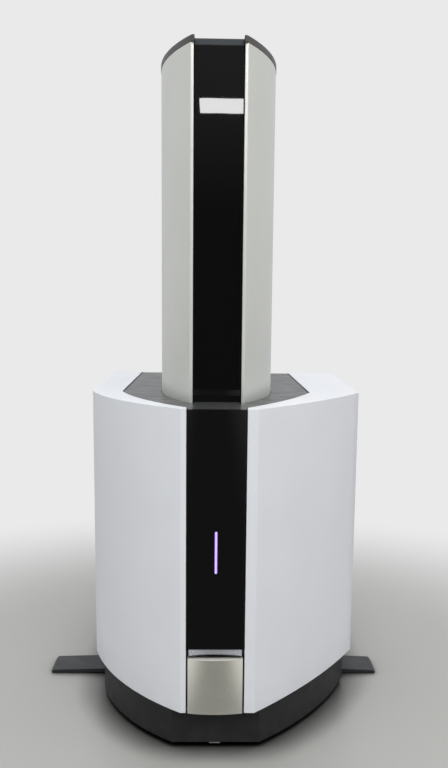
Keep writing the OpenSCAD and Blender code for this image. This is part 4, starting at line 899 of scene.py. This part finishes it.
def hoodRule():
    # pressed hoods over the slots: a quarter round that closes at its ends, in columns
    tree, start, m = newRule("ventHoods", {
        "Rows": 14, "Columns": 2, "Width": 0.094, "Rise": 0.0052, "Depth": 0.0026, "Wall": 0.0007,
        "Row Gap": 0.008, "Column Gap": 0.21, "Centre X": 0.0, "Face Y": 0.3, "Bottom": 0.22})
    sheet, along, down = unitSheet(tree, 25, 6)
    full = m.root(m.most(m.less(1.0, m.power(m.size(m.times(along, 2)), 10)), 0.0))
    angle = m.times(m.add(down, 0.5), math.pi / 2)
    outward = m.times(m.times(m.sine(angle), start["Depth"]), full)
    curved = vector(tree, m.times(along, start["Width"]), outward, m.times(m.cosine(angle), start["Rise"]))
    hood = skinned(tree, placed(tree, sheet, curved), start["Wall"])
    index = indexOf(tree)
    row = m.floor(m.over(m.add(index, 0.5), start["Columns"]))
    column = m.less(index, m.times(row, start["Columns"]))
    middle = m.times(m.less(start["Columns"], 1), 0.5)
    x = m.timesAdd(m.less(column, middle), start["Column Gap"], start["Centre X"])
    z = m.timesAdd(row, start["Row Gap"], start["Bottom"])
    line = pointLine(tree, m.times(start["Rows"], start["Columns"]))
    points = placed(tree, line, vector(tree, x, start["Face Y"], z))
    return endRule(tree, start, scattered(tree, points, hood))


hoods = {"Face Y": rearFace - 0.0004, "Bottom": 0.2192}
keep(grow("rearVentHoods", hoodRule(), hoods, "rear_grey", sharp=45), "rear_grey")

print("screws")


def screwRule():
    # button heads with a six-sided socket, one on each point of the mesh that comes in
    tree, start, m = newRule("buttonHeads", {"Radius": 0.0042, "Height": 0.0024, "Socket": 0.0017,
                                             "Socket Depth": 0.0016, "Crown": 0.55, "Turn": -math.pi / 2})
    sheet, along, up = unitSheet(tree, 33, 9)
    angle, rise = m.times(along, 2 * math.pi), m.times(up, math.pi)
    radius = m.times(m.power(m.most(m.cosine(rise), 0.0), start["Crown"]), start["Radius"])
    height = m.times(m.sine(rise), start["Height"])
    curved = vector(tree, m.times(radius, m.cosine(angle)), m.times(radius, m.sine(angle)), height)
    ball = welded(tree, placed(tree, sheet, curved), 2e-5)
    key = made(tree, "GeometryNodeMeshCylinder", settings={
        "Vertices": 6, "Radius": start["Socket"], "Depth": m.times(start["Socket Depth"], 2)})
    raised = moved(tree, key, vector(tree, z=start["Height"]))
    head = made(tree, "GeometryNodeMeshBoolean", ball, operation="DIFFERENCE", settings={"Mesh 2": raised})
    return endRule(tree, start, scattered(tree, start["Geometry"], head, vector(tree, start["Turn"])))


screwTree = screwRule()


def screws(name, places, sizes, *replaced):
    mesh = bpy.data.meshes.new(name)
    mesh.from_pydata(places, [], [])
    keep(grow(name, screwTree, sizes, "steel", mesh, sharp=35), "steel", *replaced)


def fourAround(x, y, z, across, up):
    # the four corners round a place, from the left one at the bottom
    return [(x + dx * across, y, z + dz * up) for dx in (-1, 1) for dz in (-1, 1)]


screwLow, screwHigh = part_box("rear_screws")
screwRadius = 4 * mm
rearColumns = (screwLow[0] + screwRadius, 10 * mm, screwHigh[0] - screwRadius)
rearRows = (screwLow[2] + screwRadius, 300 * mm, screwHigh[2] - screwRadius)
screws("rearScrews", [(x, rearFace, z) for x in rearColumns for z in rearRows],
       {"Height": 0.0023, "Radius": screwRadius}, "rear_screws")
fanReach, frameStand = 35.5 * mm, 0.0008
fanPlaces = []
for low, high in (leftFan, rightFan):
    fanPlaces += fourAround((low[0] + high[0]) / 2, rearFace + frameStand, fanZ, fanReach, fanReach)
screws("fanScrews", fanPlaces, {"Radius": 0.0034, "Height": 0.0026, "Socket": 0.0014})
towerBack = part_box("tower_rear_cover")[1]
towerSide, towerHeights = towerBack[0] - 7 * mm, (0.56, 0.72, 0.88, 1.02)
screws("towerScrews", [(side * towerSide, towerBack[1], z) for side in (-1, 1) for z in towerHeights],
       {"Radius": 0.0032, "Height": 0.0016, "Socket": 0.0013})
inlet = {"x": -0.150, "z": 0.130, "across": 0.0135, "up": 0.0265}
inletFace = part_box("mains_inlet")[1][1]
screws("inletScrews", fourAround(inlet["x"], inletFace, inlet["z"], inlet["across"], inlet["up"]),
       {"Radius": 0.0022, "Height": 0.0012, "Socket": 0.0009, "Socket Depth": 0.0009})

# a dark bead along the deck's side edges, where the deck meets the covers, stands in for the shadow in that
# gap: painted shade
print("deck seal")


def shadeBeadRule():
    # a flattened dark bead that follows the paths that come in: painted shade, standing in for the shadow
    # in the gap along the deck's edges
    tree, start = newRule("edgeShadeBead", {"Width": 0.0021, "Rise": 0.0012})[:2]
    flat = moved(tree, circleCurve(tree, 0.5, 12), scale=vector(tree, start["Width"], start["Rise"], 1.0))
    return endRule(tree, start, swept(tree, asCurve(tree, start["Geometry"]), flat))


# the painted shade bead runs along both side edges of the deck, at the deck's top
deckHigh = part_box("deck")[1]
shadeBead = {"from": -0.1145, "to": deckHigh[1] - 0.0012, "steps": 24}
shadeBeadPoints, shadeBeadEdges = [], []
for side in (-1, 1):
    for i in range(shadeBead["steps"] + 1):
        if i:
            shadeBeadEdges.append((len(shadeBeadPoints) - 1, len(shadeBeadPoints)))
        y = shadeBead["from"] + (shadeBead["to"] - shadeBead["from"]) * i / shadeBead["steps"]
        shadeBeadPoints.append((side * deckHigh[0], y, deckHigh[2]))
paths = bpy.data.meshes.new("deckSeal")
paths.from_pydata(shadeBeadPoints, shadeBeadEdges, [])
keep(grow("deckSeal", shadeBeadRule(), {}, "rubber", paths, sharp=50), "rubber")

print("sockets, marks and plates")


def block(shape, low, high, radius=0.0):
    # a box between two corners with rounded edges
    verts = bmesh.ops.create_cube(shape, size=1.0)["verts"]
    size = [b - a for a, b in zip(low, high)]
    middle = [(a + b) / 2 for a, b in zip(low, high)]
    bmesh.ops.scale(shape, vec=size, verts=verts)
    bmesh.ops.translate(shape, vec=middle, verts=verts)
    if radius:
        around = {edge for vert in verts for edge in vert.link_edges}
        bmesh.ops.bevel(shape, geom=list(around), offset=radius, segments=3, profile=0.5, affect="EDGES")


def fromBmesh(name, shape, slot, body="cabinet"):
    bmesh.ops.recalc_face_normals(shape, faces=shape.faces)
    obj = meshObject(name, asMesh(shape, name))
    softened(obj.data, sharp=35)
    obj.data.materials.append(finishes[slot])
    keep(obj, slot, body=body)


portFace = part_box("data_ports")[1][1]
usb = {"lefts": (-78, -60), "width": 13, "low": 98, "height": 5, "tongue": 1.9, "depth": 9.5,
       "side": 0.8, "roof": 0.6, "deep": 11, "round": 0.0003}
tongues = bmesh.new()
for left in usb["lefts"]:
    top = (usb["low"] + usb["height"] - usb["roof"]) * mm
    back = portFace - usb["deep"] * mm
    under = (usb["low"] + usb["height"] - usb["roof"] - usb["tongue"]) * mm
    low = ((left + usb["side"]) * mm, back, under)
    high = ((left + usb["width"] - usb["side"]) * mm, back + usb["depth"] * mm, top)
    block(tongues, low, high, usb["round"])
fromBmesh("portTongues", tongues, "ceramic")

# each jack is lined with two walls, two ledges beside the latch and a roof
jack = {"lefts": (-40, -22), "width": 14, "low": 97, "height": 13, "gap": 0.05, "deep": 10.9, "front": 0.8,
        "wall": 1.1 * mm, "ledgeFrom": 1.15 * mm, "ledgeTo": 4.2 * mm, "ledgeTop": 3.2 * mm,
        "roof": 1.4 * mm, "round": 0.0002}
liners = bmesh.new()
for left in jack["lefts"]:
    back, front = portFace - jack["deep"] * mm, portFace - jack["front"] * mm
    x0, x1 = (left + jack["gap"]) * mm, (left + jack["width"] - jack["gap"]) * mm
    z0, z1 = (jack["low"] + jack["gap"]) * mm, (jack["low"] + jack["height"] - jack["gap"]) * mm
    near, far, ledge = jack["ledgeFrom"], jack["ledgeTo"], z0 + jack["ledgeTop"]
    for a, b, low, high in ((x0, x0 + jack["wall"], z0, z1), (x1 - jack["wall"], x1, z0, z1),
                            (x0 + near, x0 + far, z0, ledge), (x1 - far, x1 - near, z0, ledge),
                            (x0 + near, x1 - near, z1 - jack["roof"], z1)):
        block(liners, (a, back, low), (b, front, high), jack["round"])
fromBmesh("jackLiners", liners, "matte_black")


def contactRule():
    # a row of thin contacts in each jack
    tree, start, m = newRule("jackContacts", {"Contacts": 8, "Pitch": 0.00102, "Width": 0.00045,
                                              "Length": 0.008, "Thick": 0.0003, "Slope": -0.28})
    size = vector(tree, start["Width"], start["Length"], start["Thick"])
    wire = made(tree, "GeometryNodeMeshCube", size)
    middle = m.times(m.less(start["Contacts"], 1), 0.5)
    x = m.times(m.less(indexOf(tree), middle), start["Pitch"])
    points = placed(tree, pointLine(tree, start["Contacts"]), vector(tree, x))
    row = realized(tree, scattered(tree, points, wire, vector(tree, start["Slope"])))
    return endRule(tree, start, scattered(tree, start["Geometry"], row))


contactY = portFace - 5.6 * mm
contactZ = (jack["low"] + jack["height"] - 3.2) * mm
jackCentres = [((left + jack["width"] / 2) * mm, contactY, contactZ) for left in jack["lefts"]]
jackPoints = bpy.data.meshes.new("jackContacts")
jackPoints.from_pydata(jackCentres, [], [])
keep(grow("jackContacts", contactRule(), {}, "steel", jackPoints), "steel")

# on and off marks on the two faces of the rocker, in millimetres
signs = {"barHalf": 0.5, "barReach": 2.1, "ringIn": 1.5, "ringOut": 2.3, "top": 0.12, "bottom": -0.1,
         "sides": 40}
rocker = bmesh.new()
rocker.from_mesh(nodes["power_switch"].data)
bmesh.ops.remove_doubles(rocker, verts=rocker.verts, dist=sameSpot)
bmesh.ops.dissolve_limit(rocker, angle_limit=0.01, verts=rocker.verts, edges=rocker.edges)
fronts = sorted((f for f in rocker.faces if f.normal.y > 0.7), key=lambda f: -f.calc_area())[:2]
fronts.sort(key=lambda f: -f.calc_center_median().z)


def barMark(s):
    mark = bmesh.new()
    block(mark, (-s["barHalf"] * mm, -s["barReach"] * mm, s["bottom"] * mm),
          (s["barHalf"] * mm, s["barReach"] * mm, s["top"] * mm))
    return mark


def ringMark(s):
    inside, outside, top, bottom = s["ringIn"], s["ringOut"], s["top"], s["bottom"]
    outline = [(inside, top), (outside, top), (outside, bottom), (inside, bottom), (inside, top)]
    return turned(outline, s["sides"])


marks = bmesh.new()
for face, sign in zip(fronts, (barMark, ringMark)):
    turnTo = face.normal.to_track_quat("Z", "Y").to_matrix().to_4x4()
    place = Matrix.Translation(face.calc_center_median()) @ turnTo
    marks.from_mesh(asMesh(sign(signs), "mark", place))
rocker.free()
bmesh.ops.remove_doubles(marks, verts=marks.verts, dist=1e-6)
fromBmesh("switchMarks", marks, "ceramic", body="rocker")

# a small tab under the middle of the plinth's front
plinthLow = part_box("base_plinth")[0]
tab = {"half": 0.0085, "depth": 0.009, "drop": 0.0024, "in": 0.0006, "round": 0.0004}
shape = bmesh.new()
block(shape, (-tab["half"], plinthLow[1] + tab["in"], plinthLow[2] - tab["drop"]),
      (tab["half"], plinthLow[1] + tab["depth"], plinthLow[2]), tab["round"])
fromBmesh("plinthTab", shape, "steel")
